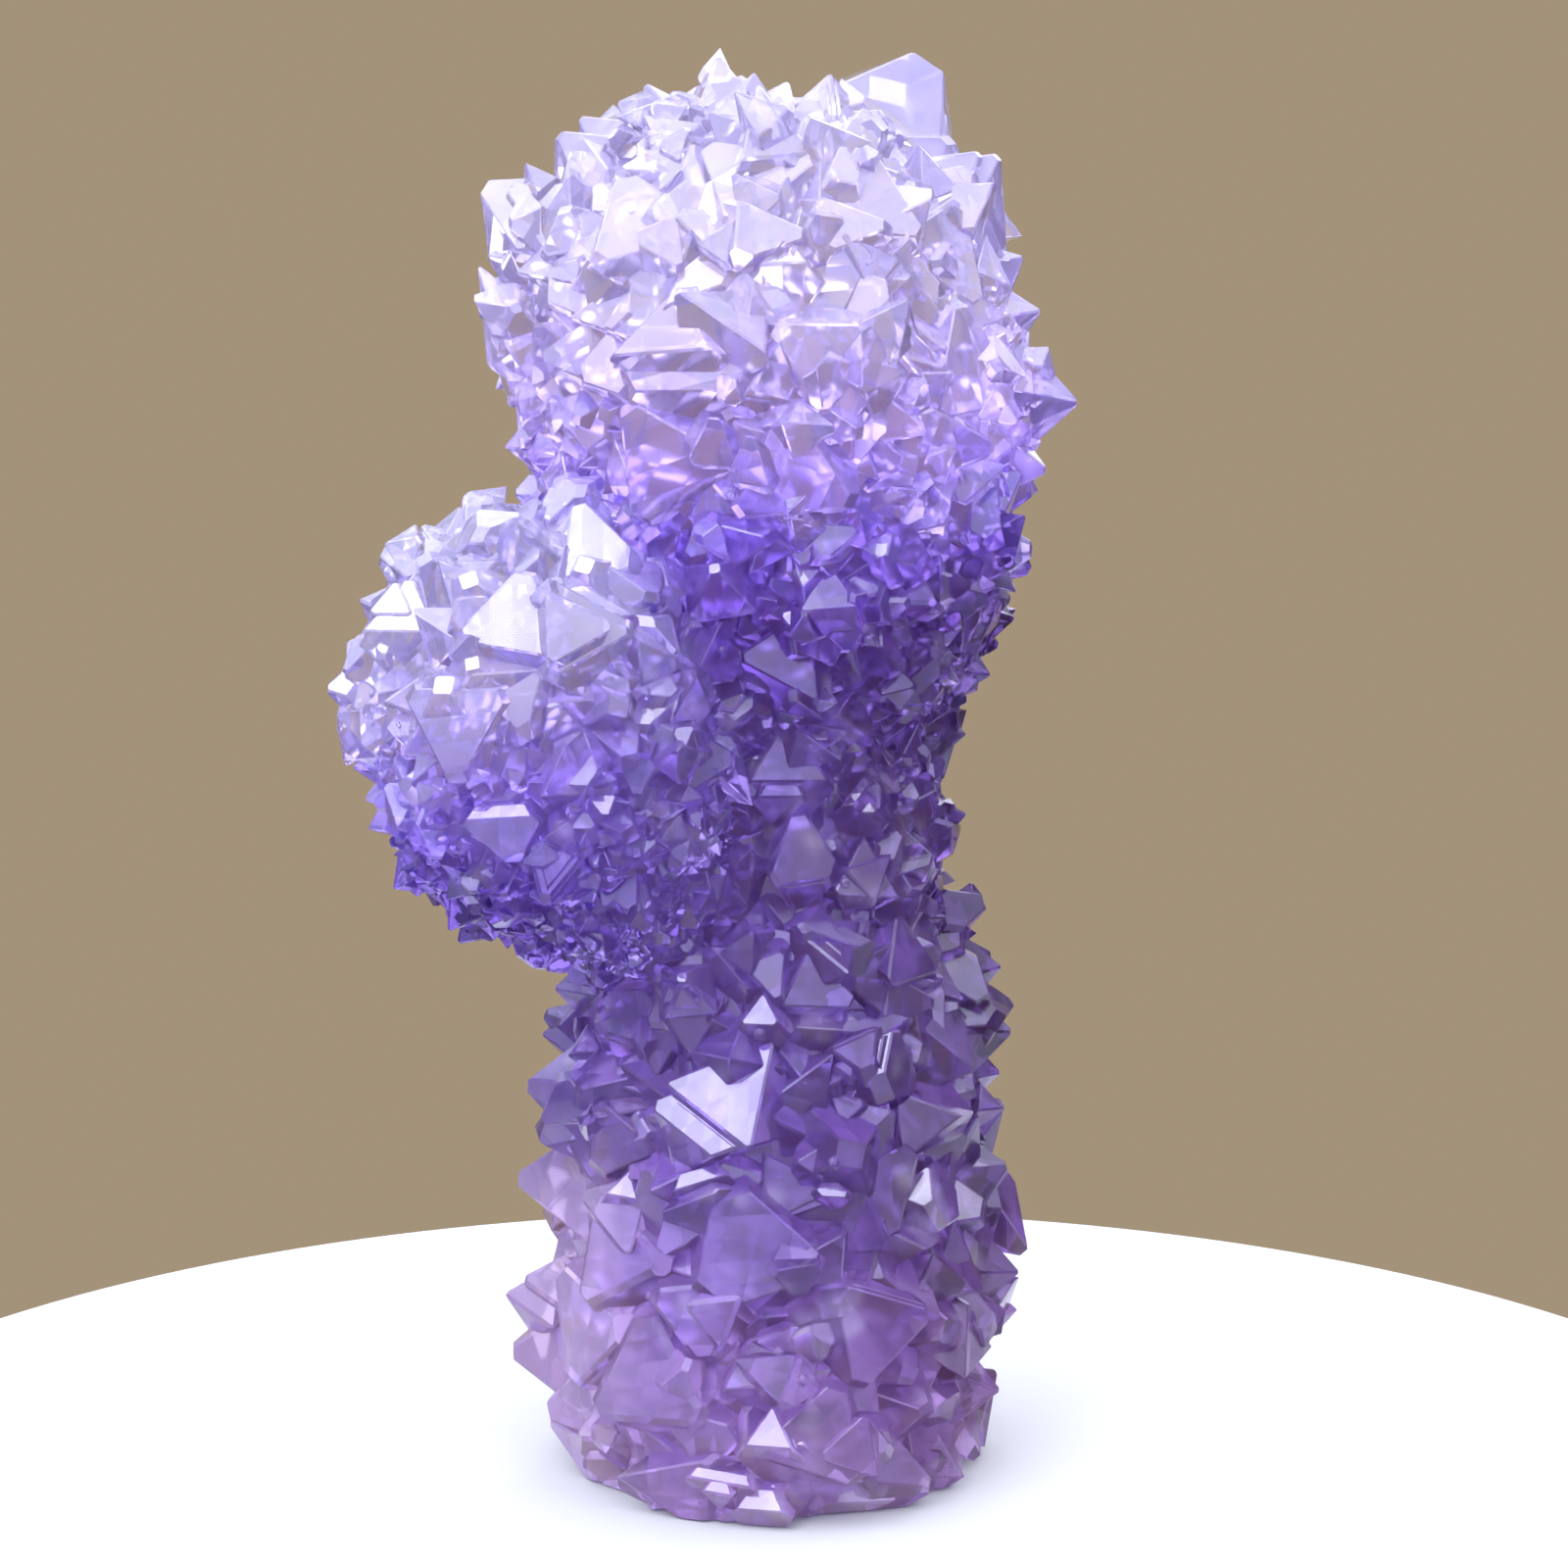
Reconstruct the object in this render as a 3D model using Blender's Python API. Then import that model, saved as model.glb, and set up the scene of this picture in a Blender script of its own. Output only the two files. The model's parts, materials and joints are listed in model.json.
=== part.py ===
"""Violet alum crystals grown together over a column with a club-shaped head and a side lobe.

The cluster is one grown solid. A plain core gives its mass: a column that swells into a head, and a
lobe that leans out at the front left. Octahedral crystals stand on the core all over and are fused
with it. The chosen ones come first, with their own places and sizes, and the crust then fills the
room between them. Lengths are in millimetres until a mesh is made, and in metres there.

Front is -Y, right is +X and up is +Z. The origin is the centre of the flat base.
"""
import itertools
import math
import random

import bmesh
import bpy
import numpy as np
from mathutils import Matrix, Vector

MM = 0.001

# Driving dimensions and choices -------------------------------------------------------------------

CORE_SIDES = 12             # sides of each section of the core
SLOPE_SPAN = 3.0            # height over which the slope of the core is read
CORE_DIP = 4.0              # how far the core runs below the base before it is cut flat
CUTTER_WIDTH = 160.0        # the block that cuts it, across and down
CUTTER_DEPTH = 40.0
SUN = (-12, 32)             # azimuth and elevation of the faces that shine together
UNCUT = 2.0                 # a corner cut this many sizes out never touches the crystal
HIDDEN_FACE = 1.05          # distance of a chosen crystal's buried faces, over that of its regular faces

SEED = 11
CRUST_TRIES = 5000          # places tried while the crust fills up
CRUST_ROOM = 1.23           # distance between neighbours, in crystal sizes
LANDMARK_ROOM = 0.62        # room that the crust leaves round a chosen crystal, in crystal sizes
BURIED_MARGIN = 0.3         # a crust crystal may stand this deep in the other body, in crystal sizes
LEAN = 0.28                 # how far the crust's crystals lean at random
GROWTH = (0.84, 1.12)       # unequal growth of a crust crystal's faces
SLENDER = (0.9, 1.25)       # stretch of a crust crystal along one axis
SUNK = (0.0, 0.3)           # depth of a crust crystal's centre below the core's surface, in sizes
OUTWARD = ((0, 0, 1), (0, 0, 1), (0, 1, 1), (1, 1, 1))      # corner twice, edge, face

CRYSTAL_COLOR = (0.46, 0.33, 0.72, 1.0)
CRYSTAL_ROUGHNESS = 0.08
CRYSTAL_IOR = 1.456         # of alum
CRYSTAL_TRANSMISSION = 0.6

# Sections of the core: height, centre x, centre y, radius.
CORE = {
    "column": ((-CORE_DIP, -2, 0, 26.5), (25, -2.5, 0, 32), (50, -2, 0, 31), (78, -1.5, 0, 27.5),
               (93, -0.5, 0, 23.5), (118, -0.5, 0, 22.5), (140, 1, 0, 30), (170, -1.5, 0, 34.5),
               (183, -3.5, 0, 33.5), (194, -3.5, 0, 28.5), (204, -2.5, 0, 19), (209.5, -1.5, 0, 6)),
    "lobe": ((78, -14, -8, 4), (90, -28, -17, 17), (102, -33, -21, 23), (123, -34, -22, 25.5),
             (134, -35, -22, 23), (143, -38, -22, 15), (147.5, -40, -22, 5)),
}

# Size of the crust's crystals by height, centre to corner: height, smallest, largest.
CRUST = {
    "column": ((0, 8, 11.5), (35, 8, 11), (60, 7, 9.5), (105, 6.5, 8.5), (125, 6.5, 8.5), (145, 8.5, 11.5),
               (165, 10, 13), (190, 10, 13), (212, 8, 11)),
    "lobe": ((80, 5.5, 7), (104, 5.5, 7), (118, 7, 9), (135, 8, 11), (150, 8, 10)),
}

# Crystals with a corner that points out: corner x, y, z, azimuth, elevation, twist, size, slenderness and
# the half diagonal of the small square face that cuts the corner.
CORNERS = {
    "column": (
        (-10, -6, 220, -20, 78, 12, 10, 1.1, 0.4),                        # highest peak
        (-4.5, -13, 216.5, 5, 62, 40, 7, 1.0, 0.3),
        (-21, -5, 216, -55, 62, 5, 9, 1.1, 0.5),
        (-24.5, -9, 212, -75, 45, 30, 8, 1.2, 0.5),
        (7, -8, 217, 15, 66, 0, 8, 1.0, 0.5),
        (-34, -8, 208, -62, 42, 45, 13, 1.0, 1.2),                        # left shoulder, in two steps
        (-41.5, -11, 199.5, -65, 35, 40, 14, 1.0, 1.2),
        (-45, -8, 190, -85, 16, 0, 12, 1.0, 0.6),                         # left cheek, with a slim blade
        (-46, -12, 188, -85, 62, 20, 6.5, 2.2, 0.4),
        (-42.5, -10, 161, -78, -8, 15, 7, 1.0, 0.3),
        (-40, -14, 152, -65, -15, 30, 8, 1.0, 0.5),
        (32.5, -6, 205, 58, 42, 42, 14, 1.0, 1.0),                        # right shoulder
        (34, 6, 197, 75, 25, 10, 11, 1.0, 0.6),
        (36.5, -5, 190, 75, 28, 15, 9, 1.0, 0.5),
        (39.5, -3, 182, 82, 12, 0, 10, 1.0, 0.5),
        (45.5, -2, 168, 87, -3, 5, 14, 1.0, 0.5),                         # spike at the right
        (40, -7, 157.5, 70, -10, 40, 11, 1.0, 0.8),
        (38, -4, 142, 78, -28, 25, 12, 1.1, 1.0),
        (36.5, 4, 134.5, 97, -4, 12, 8.5, 1.0, 0.3),
        (32, -5, 126, 80, -12, 0, 7.5, 1.0, 0.3),
        (28, -8, 117, 72, 0, 20, 6.5, 1.0, 0.3),
        (28.5, -2, 104, 88, 10, 40, 7, 1.0, 0.3),
        (29.5, -4, 88, 84, 5, 10, 7.5, 1.0, 0.3),
        # right side of the column, top to bottom
        (34.5, 3, 79, 96, 4, 0, 11, 1.0, 0.4),
        (35.5, -5, 70, 80, 2, 8, 9, 1.0, 0.8),
        (34.5, 5, 61.5, 100, -4, 0, 9, 1.0, 0.5),
        (35, -5, 48.5, 82, 14, 20, 11, 1.0, 0.9),
        (36, 4, 39.5, 98, 4, 14, 9, 1.0, 0.4),
        (37, -5, 31.5, 81, -2, 10, 9.5, 1.0, 0.5),
        (37.5, 4, 23, 98, 2, 0, 9, 1.0, 0.3),
        (34, -7, 13, 76, -4, 35, 9.5, 1.0, 0.4),
        (31, 5, 6, 99, -8, 0, 8.5, 1.0, 0.4),
        (-42, -3, 46, -88, 4, 30, 15, 1.0, 1.6),                          # left side of the column
        (-37.5, -4, 60.5, -84, -2, 0, 8.5, 1.0, 0.4),
        (-38.5, 4, 68, -97, 4, 20, 8.5, 1.0, 0.5),
        (-36, -3, 76.5, -86, 2, 0, 7.5, 1.0, 0.4),
        (-43, -4, 18.5, -84, 0, 38, 16, 1.0, 1.8),
        (-40.5, -8, 31, -74, 14, 20, 13, 1.0, 1.2),
        (-35.5, -10, 9, -68, -4, 10, 11, 1.0, 0.6),
        # across the large triangular face
        (-8, -37, 71.5, -8, 12, 10, 8, 1.0, 0.4),
    ),
    "lobe": (
        # from the lobe's peak down its left side
        (-44, -24, 154, -18, 76, 10, 10, 1.1, 0.3),
        (-53, -27, 149, -48, 52, 30, 9, 1.0, 0.6),
        (-59, -24, 144.5, -68, 38, 10, 11, 1.0, 0.6),
        (-63.5, -20, 138, -86, 22, 0, 8, 1.0, 0.4),
        (-67.5, -26, 125, -80, 2, 15, 16, 1.0, 1.0),
        (-64.5, -22, 113, -90, -10, 10, 8, 1.0, 0.4),
        (-62, -24, 104, -85, -22, 30, 7, 1.0, 0.3),
        (-58.5, -24, 95, -80, -36, 0, 6.5, 1.0, 0.3),
        (-50, -26, 89, -60, -50, 20, 6, 1.0, 0.3),
    ),
}

# Crystals with a chosen face: face x, z, lift of the face above the core, azimuth, elevation, turn of its
# first side (clockwise from up), distances to its three sides, distances to the three cuts at its corners,
# and depth below the face to the crystal's centre.
FACES = {
    "column": (
        # large pale plate on top
        (13.5, 211, 1, 8, 14, 335, (7.5, 7.5, 11), (17, 15, 10.4), 6),
        # large triangular face with a step below it
        (-8, 66.5, 6.5, *SUN, 215, (5.2, 5.0, 5.0), (9.8, 9.2, 9.2), 6),
        (-9.5, 66, 4.9, *SUN, 215, (8.4, 4.0, 2.4), (9, 9, 9), 6),
        (-29, 68, 4.5, *SUN, 294, (2.1, 4.0, 4.2), (2.0, 6, 6), 5),
        (-3.6, 77.5, 5.5, *SUN, 180, (1.7, 1.9, 1.6), (2.9, 2.6, 2.8), 4),
        (12.7, 70.5, 5.5, *SUN, 95, (2.7, 2.8, 2.8), (5, 3.0, 5), 5),
        (11.4, 71.8, 7.0, -2, 24, 95, (2.0, 2.1, 2.4), (4, 2.4, 4), 4),
        (20.3, 50, 5.5, *SUN, 80, (1.8, 2.2, 2.3), (2.4, 2.6, 3.4), 5),
        (-2.2, 15.3, 6.0, *SUN, 180, (2.2, 2.2, 2.1), (3.7, 4, 4), 5),
        (-29, 10.6, 5.5, -35, 32, 170, (2.2, 2.3, 2.4), (3, 3, 3), 5),
        # stepped face at the neck
        (-12.5, 119.5, 6.5, *SUN, 164, (2.7, 2.8, 2.9), (4.0, 5, 5), 5),
        (-12.8, 118.5, 4.9, *SUN, 164, (6.8, 2.4, 2.2), (5, 6, 6), 5),
        (0.5, 114.5, 6.0, 2, 24, 180, (3.2, 3.6, 3.4), (6.4, 6.6, 6.6), 6),
        (6.6, 139.5, 6.0, -8, 28, 175, (2.7, 2.4, 2.6), (5.0, 4.6, 4.4), 5),
        (-22.8, 150, 5.0, *SUN, 184, (0.8, 3.2, 3.4), (0.9, 6, 6), 4),
        (0, 188, 6.0, *SUN, 180, (1.9, 2.0, 1.9), (3.4, 3.8, 3.8), 5),
        (-27, 186, 7.0, -38, 14, 200, (7.0, 6.0, 6.0), (9.6, 9.6, 9.6), 7),
        (-20, 193, 7.0, 0, 38, 160, (5.4, 6.0, 6.0), (9, 9, 9), 7),
        (-5, 200, 6.5, -10, 40, 10, (5.6, 5.6, 6.0), (9, 9, 9), 7),
        (12, 196, 6.5, 14, 24, 185, (5.0, 5.6, 5.6), (8.8, 8.6, 8.6), 7),
        (24, 190, 6.5, 36, 18, 90, (5.6, 5.6, 5.8), (8.8, 8.8, 8.8), 7),
        (-30, 170, 6.5, -45, 4, 95, (6.6, 7.0, 7.0), (9.8, 9.8, 9.8), 7),
        (-14, 174, 6.5, -12, 12, 60, (5.4, 6.0, 6.0), (9, 9, 9), 7),
        (8, 172, 6.5, 8, -6, 0, (5.6, 6.0, 6.0), (9, 9, 9), 7),
        (28, 172, 6.5, 44, 6, 170, (6.0, 6.0, 6.0), (9.2, 9.2, 9.2), 7),
        (-17, 158, 6.5, -20, -14, 30, (5.6, 6.4, 5.6), (9, 9, 9), 7),
        (1, 156, 7.0, -4, -12, 175, (5.0, 5.6, 5.4), (8.6, 8.6, 8.6), 7),
        # broad faces of the base
        (-5, 43, 6.5, -4, 10, 40, (6.6, 6.8, 6.8), (8.2, 8.2, 8.2), 7),
        (-26, 40, 6.5, -40, 14, 150, (5.6, 5.6, 5.6), (8.2, 8.2, 8.2), 7),
        (-31, 27, 6.5, -52, 0, 20, (6.4, 6.4, 6.4), (9, 9, 9), 7),
        (-21, 22, 7.0, -30, 8, 175, (6.0, 6.6, 6.4), (9.4, 9.4, 9.4), 7),
        (-13, 33, 6.0, -14, 0, 350, (4.4, 4.4, 4.6), (6.2, 6.2, 6.2), 6),
        (5, 14, 6.5, 8, 6, 200, (4.8, 5.6, 5.0), (7.8, 7.8, 7.8), 6),
        (14, 30, 6.0, 22, 4, 20, (5.0, 5.4, 5.0), (7.8, 7.8, 7.8), 6),
    ),
    "lobe": (
        (-55, 136.5, 6.5, *SUN, 180, (2.9, 3.4, 3.3), (5.4, 6, 6), 6),    # white face on the lobe
        (-40, 109, 5.0, *SUN, 175, (1.0, 3.6, 3.8), (1.0, 6, 6), 4),
        (-29, 135, 7.0, 10, 20, 150, (4.6, 4.6, 4.2), (6.6, 7, 7), 6),    # broad plain faces
        (-38, 136, 6.5, -5, 25, 190, (4.4, 4.6, 4.6), (7, 7, 7), 6),
        (-59, 122, 6.0, -45, 8, 170, (5.5, 5.6, 5.4), (8.6, 8.6, 9), 7),
        (-46, 122, 6.5, -15, 5, 0, (4.4, 5.0, 5.0), (7.4, 7.4, 7.4), 6),
    ),
}

# Geometry of an octahedral crystal ---------------------------------------------------------------

ROOT3 = math.sqrt(3.0)
FACE_NORMALS = np.array([(x, y, z) for x in (1, -1) for y in (1, -1) for z in (1, -1)]) / ROOT3
CUT_NORMALS = np.vstack((np.eye(3), -np.eye(3)))
NORMALS = np.vstack((FACE_NORMALS, CUT_NORMALS))
TRIPLES = np.array([t for t in itertools.combinations(range(len(NORMALS)), 3)
                    if abs(np.linalg.det(NORMALS[list(t)])) > 1e-6])
SIDE_FACES = (4, 2, 1)      # the three faces that share an edge with face 0


def direction(azimuth, elevation):
    """Unit vector: azimuth 0 faces the front and 90 the right, elevation 90 is up."""
    a, e = math.radians(azimuth), math.radians(elevation)
    return Vector((math.sin(a) * math.cos(e), -math.cos(a) * math.cos(e), math.sin(e)))


def clockwise(normal, angle):
    """Unit vector across `normal`, turned clockwise from up as seen from outside."""
    up = Vector((0, 0, 1)) - normal * normal.z
    if up.length < 1e-3:
        up = Vector((0, 1, 0))
    up.normalize()
    a = math.radians(angle)
    return up * math.cos(a) + up.cross(normal) * math.sin(a)


def turn_to(crystal_out, crystal_across, out, across):
    """Rotation that takes two square directions of the crystal to two square directions of the part."""
    own = Matrix((crystal_out, crystal_across, crystal_out.cross(crystal_across))).transposed()
    part = Matrix((out, across, out.cross(across))).transposed()
    return part @ own.transposed()


def crystal_polygons(faces, cuts):
    """Corner points, and the faces as lists of corners in order, of the solid inside all its planes."""
    distances = np.concatenate((faces, cuts))
    points = np.linalg.solve(NORMALS[TRIPLES], distances[TRIPLES][..., None])[..., 0]
    inside = (points @ NORMALS.T <= distances + 1e-6).all(axis=1)
    corners = np.unique(np.round(points[inside], 5), axis=0)
    polygons = []
    for normal, distance in zip(NORMALS, distances):
        on_face = np.flatnonzero(np.abs(corners @ normal - distance) < 1e-4)
        if len(on_face) < 3:
            continue
        arms = corners[on_face] - corners[on_face].mean(axis=0)
        across = np.cross(normal, arms[0])
        order = np.argsort(np.arctan2(arms @ across, arms @ arms[0]))
        polygons.append([int(i) for i in on_face[order]])
    return corners, polygons


def crystal_object(collection, centre, turn, faces, cuts, slender=1.0):
    """One crystal as a mesh object; `slender` stretches it along its own z axis."""
    corners, polygons = crystal_polygons(faces, cuts)
    mesh = bpy.data.meshes.new("crystal")
    mesh.from_pydata([Vector(c) for c in corners], [], polygons)
    stretch = Matrix.Diagonal((1, 1, slender)).to_3x3()
    mesh.transform(Matrix.Scale(MM, 4) @ Matrix.Translation(centre) @ (turn @ stretch).to_4x4())
    crystal = bpy.data.objects.new("crystal", mesh)
    crystal.hide_render = True
    crystal.display_type = 'WIRE'
    collection.objects.link(crystal)


# The core ----------------------------------------------------------------------------------------

def row_at(rows, height):
    """The values of a table whose rows start with their height, read between its rows."""
    columns = list(zip(*rows))
    return [float(np.interp(height, columns[0], column)) for column in columns[1:]]


def front_of_core(body, x, z):
    """y of the core's front surface behind the point (x, z) of the front view."""
    cx, cy, radius = row_at(CORE[body], z)
    return cy - math.sqrt(max(radius ** 2 - (x - cx) ** 2, 0.0))


def core_point(body, along, azimuth):
    """Point and outward normal of the core, at a share of the length of its profile."""
    sections = CORE[body]
    lengths = [0.0]
    for low, high in zip(sections, sections[1:]):
        lengths.append(lengths[-1] + math.hypot(high[0] - low[0], high[3] - low[3]))
    height = float(np.interp(along * lengths[-1], lengths, [row[0] for row in sections]))
    cx, cy, radius = row_at(sections, height)
    below = row_at(sections, height - SLOPE_SPAN / 2)[2]
    above = row_at(sections, height + SLOPE_SPAN / 2)[2]
    flat = direction(azimuth, 0)
    normal = (flat * SLOPE_SPAN + Vector((0, 0, below - above))).normalized()
    return Vector((cx, cy, height)) + flat * radius, normal


def core_object(name, body):
    """Closed loft through the sections of one core body."""
    bm = bmesh.new()
    rings = []
    for height, cx, cy, radius in CORE[body]:
        place = Matrix.Translation(Vector((cx, cy, height)) * MM)
        ring = bmesh.ops.create_circle(bm, segments=CORE_SIDES, radius=radius * MM, matrix=place)
        rings.append(ring["verts"])
    for low, high in zip(rings, rings[1:]):
        for i in range(CORE_SIDES):
            j = (i + 1) % CORE_SIDES
            bm.faces.new((low[i], low[j], high[j], high[i]))
    bm.faces.new(rings[0])
    bm.faces.new(rings[-1])
    bmesh.ops.recalc_face_normals(bm, faces=bm.faces)
    mesh = bpy.data.meshes.new(name)
    bm.to_mesh(mesh)
    bm.free()
    return bpy.data.objects.new(name, mesh)


# The crystals ------------------------------------------------------------------------------------

def corner_crystal(collection, x, y, z, azimuth, elevation, twist, size, slender, cut):
    """Crystal with a corner at (x, y, z) that points out; returns its centre and size."""
    out = direction(azimuth, elevation)
    turn = turn_to(Vector((0, 0, 1)), Vector((1, 0, 0)), out, clockwise(out, twist))
    centre = Vector((x, y, z)) - out * (size - cut) * slender
    cuts = np.full(6, UNCUT * size)
    cuts[2] = size - cut
    crystal_object(collection, centre, turn, np.full(8, size / ROOT3), cuts, slender)
    return centre, size


def face_crystal(collection, body, x, z, lift, azimuth, elevation, twist, sides, cuts, depth):
    """Crystal with face 0 at (x, z) in the front view; returns its centre and size."""
    out = direction(azimuth, elevation)
    first_side = Vector((-2, 1, 1)).normalized()
    turn = turn_to(Vector(FACE_NORMALS[0]), first_side, out, clockwise(out, twist))
    centre = Vector((x, front_of_core(body, x, z) - lift, z)) - out * depth
    size = (depth + sum(sides) / 3 * math.sqrt(8)) / 3 * ROOT3
    faces = np.full(8, max(depth, size / ROOT3) * HIDDEN_FACE)
    faces[0] = depth
    for index, side in zip(SIDE_FACES, sides):
        faces[index] = (depth + side * math.sqrt(8)) / 3
    corner_cuts = np.full(6, UNCUT * size)
    for index, cut in enumerate(cuts):
        corner_cuts[index] = (depth + cut * math.sqrt(2)) / ROOT3
    crystal_object(collection, centre, turn, faces, corner_cuts)
    return centre, size


def crust_crystal(collection, rng, point, normal, size):
    """Crystal of the crust, with a corner, an edge or a face outwards and its own unequal growth."""
    lean = Vector((rng.gauss(0, 1), rng.gauss(0, 1), rng.gauss(0, 1))) * LEAN
    out = (normal + lean).normalized()
    own_out = Vector(rng.choice(OUTWARD)).normalized()
    own_across = own_out.orthogonal().normalized()
    turn = turn_to(own_out, own_across, out, clockwise(out, rng.uniform(0, 360)))
    faces = np.array([size / ROOT3 * rng.uniform(*GROWTH) for _ in range(8)])
    slender = rng.uniform(*SLENDER)
    centre = point - normal * size * rng.uniform(*SUNK)
    crystal_object(collection, centre, turn, faces, np.full(6, UNCUT * size), slender)


def buried_in_other_body(body, point, size):
    """Whether the point is buried where the lobe and the column run into each other."""
    other = CORE["lobe" if body == "column" else "column"]
    if not other[0][0] < point.z < other[-1][0]:
        return False
    cx, cy, radius = row_at(other, point.z)
    return math.hypot(point.x - cx, point.y - cy) < radius - size * BURIED_MARGIN


def grow_crust(collection, rng, body, taken):
    """Fill a core body with crystals wherever there is room between those already there."""
    for _ in range(CRUST_TRIES):
        point, normal = core_point(body, rng.random(), rng.uniform(0, 360))
        size = rng.uniform(*row_at(CRUST[body], point.z))
        if point.z < 1 or buried_in_other_body(body, point, size):
            continue
        room = size * CRUST_ROOM / 2
        if all((point - centre).length > other_room + room for centre, other_room in taken):
            crust_crystal(collection, rng, point, normal, size)
            taken.append((point, room))


def grow_crystals(collection):
    """The chosen crystals of each body first, and then its crust between them."""
    rng = random.Random(SEED)
    for body in ("lobe", "column"):
        chosen = [corner_crystal(collection, *row) for row in CORNERS[body]]
        chosen += [face_crystal(collection, body, *row) for row in FACES[body]]
        grow_crust(collection, rng, body, [(centre, size * LANDMARK_ROOM) for centre, size in chosen])


# Material and assembly ---------------------------------------------------------------------------

def crystal_material():
    material = bpy.data.materials.new("violet_alum")
    material.use_nodes = True
    shader = material.node_tree.nodes["Principled BSDF"]
    shader.inputs["Base Color"].default_value = CRYSTAL_COLOR
    shader.inputs["Roughness"].default_value = CRYSTAL_ROUGHNESS
    shader.inputs["Metallic"].default_value = 0.0
    shader.inputs["IOR"].default_value = CRYSTAL_IOR
    shader.inputs["Transmission Weight"].default_value = CRYSTAL_TRANSMISSION
    return material


def base_cutter():
    """Block below the base, which leaves the cluster a flat face to stand on."""
    stretch = Matrix.Diagonal((CUTTER_WIDTH, CUTTER_WIDTH, CUTTER_DEPTH, 1))
    place = Matrix.Scale(MM, 4) @ Matrix.Translation((0, 0, -CUTTER_DEPTH / 2)) @ stretch
    bm = bmesh.new()
    bmesh.ops.create_cube(bm, size=1.0, matrix=place)
    mesh = bpy.data.meshes.new("base_cutter")
    bm.to_mesh(mesh)
    bm.free()
    return bpy.data.objects.new("base_cutter", mesh)


def boolean(target, operation, name, operand):
    modifier = target.modifiers.new(name, 'BOOLEAN')
    modifier.operation = operation
    modifier.solver = 'EXACT'
    if isinstance(operand, bpy.types.Collection):
        modifier.operand_type = 'COLLECTION'
        modifier.collection = operand
    else:
        modifier.object = operand


def main():
    for old in list(bpy.data.objects):
        bpy.data.objects.remove(old)
    scene_objects = bpy.context.scene.collection.objects
    crystals = bpy.data.collections.new("crystals")
    bpy.context.scene.collection.children.link(crystals)

    cluster = core_object("crystal_cluster", "column")
    lobe = core_object("lobe_core", "lobe")
    cutter = base_cutter()
    for helper in (lobe, cutter):
        helper.hide_render = True
        helper.display_type = 'WIRE'
        scene_objects.link(helper)
    scene_objects.link(cluster)
    grow_crystals(crystals)

    boolean(cluster, 'UNION', "lobe", lobe)
    boolean(cluster, 'UNION', "crystals", crystals)
    boolean(cluster, 'DIFFERENCE', "flat_base", cutter)
    cluster.data.materials.append(crystal_material())


main()
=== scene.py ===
import itertools
import json
import math
import random
from functools import partial
import bmesh
import bpy
import numpy as np
from mathutils import Matrix, Vector
from mathutils.bvhtree import BVHTree

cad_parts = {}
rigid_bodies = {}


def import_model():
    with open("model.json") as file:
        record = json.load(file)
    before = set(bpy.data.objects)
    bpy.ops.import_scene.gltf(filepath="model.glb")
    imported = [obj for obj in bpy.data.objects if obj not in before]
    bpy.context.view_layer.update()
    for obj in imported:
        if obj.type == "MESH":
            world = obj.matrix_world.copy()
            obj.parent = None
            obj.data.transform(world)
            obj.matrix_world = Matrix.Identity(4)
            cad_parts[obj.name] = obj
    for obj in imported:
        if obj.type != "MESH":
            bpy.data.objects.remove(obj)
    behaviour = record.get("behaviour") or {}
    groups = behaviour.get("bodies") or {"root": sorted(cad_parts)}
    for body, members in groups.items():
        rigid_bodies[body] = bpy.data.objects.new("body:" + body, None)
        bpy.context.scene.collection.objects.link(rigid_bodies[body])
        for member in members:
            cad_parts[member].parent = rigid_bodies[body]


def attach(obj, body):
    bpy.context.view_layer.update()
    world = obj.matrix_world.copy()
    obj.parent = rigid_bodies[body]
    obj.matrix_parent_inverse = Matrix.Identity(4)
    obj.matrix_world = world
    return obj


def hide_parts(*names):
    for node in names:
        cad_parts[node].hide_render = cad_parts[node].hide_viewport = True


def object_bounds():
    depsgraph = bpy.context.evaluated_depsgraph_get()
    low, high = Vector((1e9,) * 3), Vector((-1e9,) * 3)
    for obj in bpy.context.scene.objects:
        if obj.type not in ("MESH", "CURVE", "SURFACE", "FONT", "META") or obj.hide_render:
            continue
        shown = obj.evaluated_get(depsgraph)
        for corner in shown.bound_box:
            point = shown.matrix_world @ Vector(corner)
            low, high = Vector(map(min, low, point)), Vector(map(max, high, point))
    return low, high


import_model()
cadBox = [list(corner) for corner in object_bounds()]
scene = bpy.context.scene
mm = 0.001
print("frame loaded")

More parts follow.
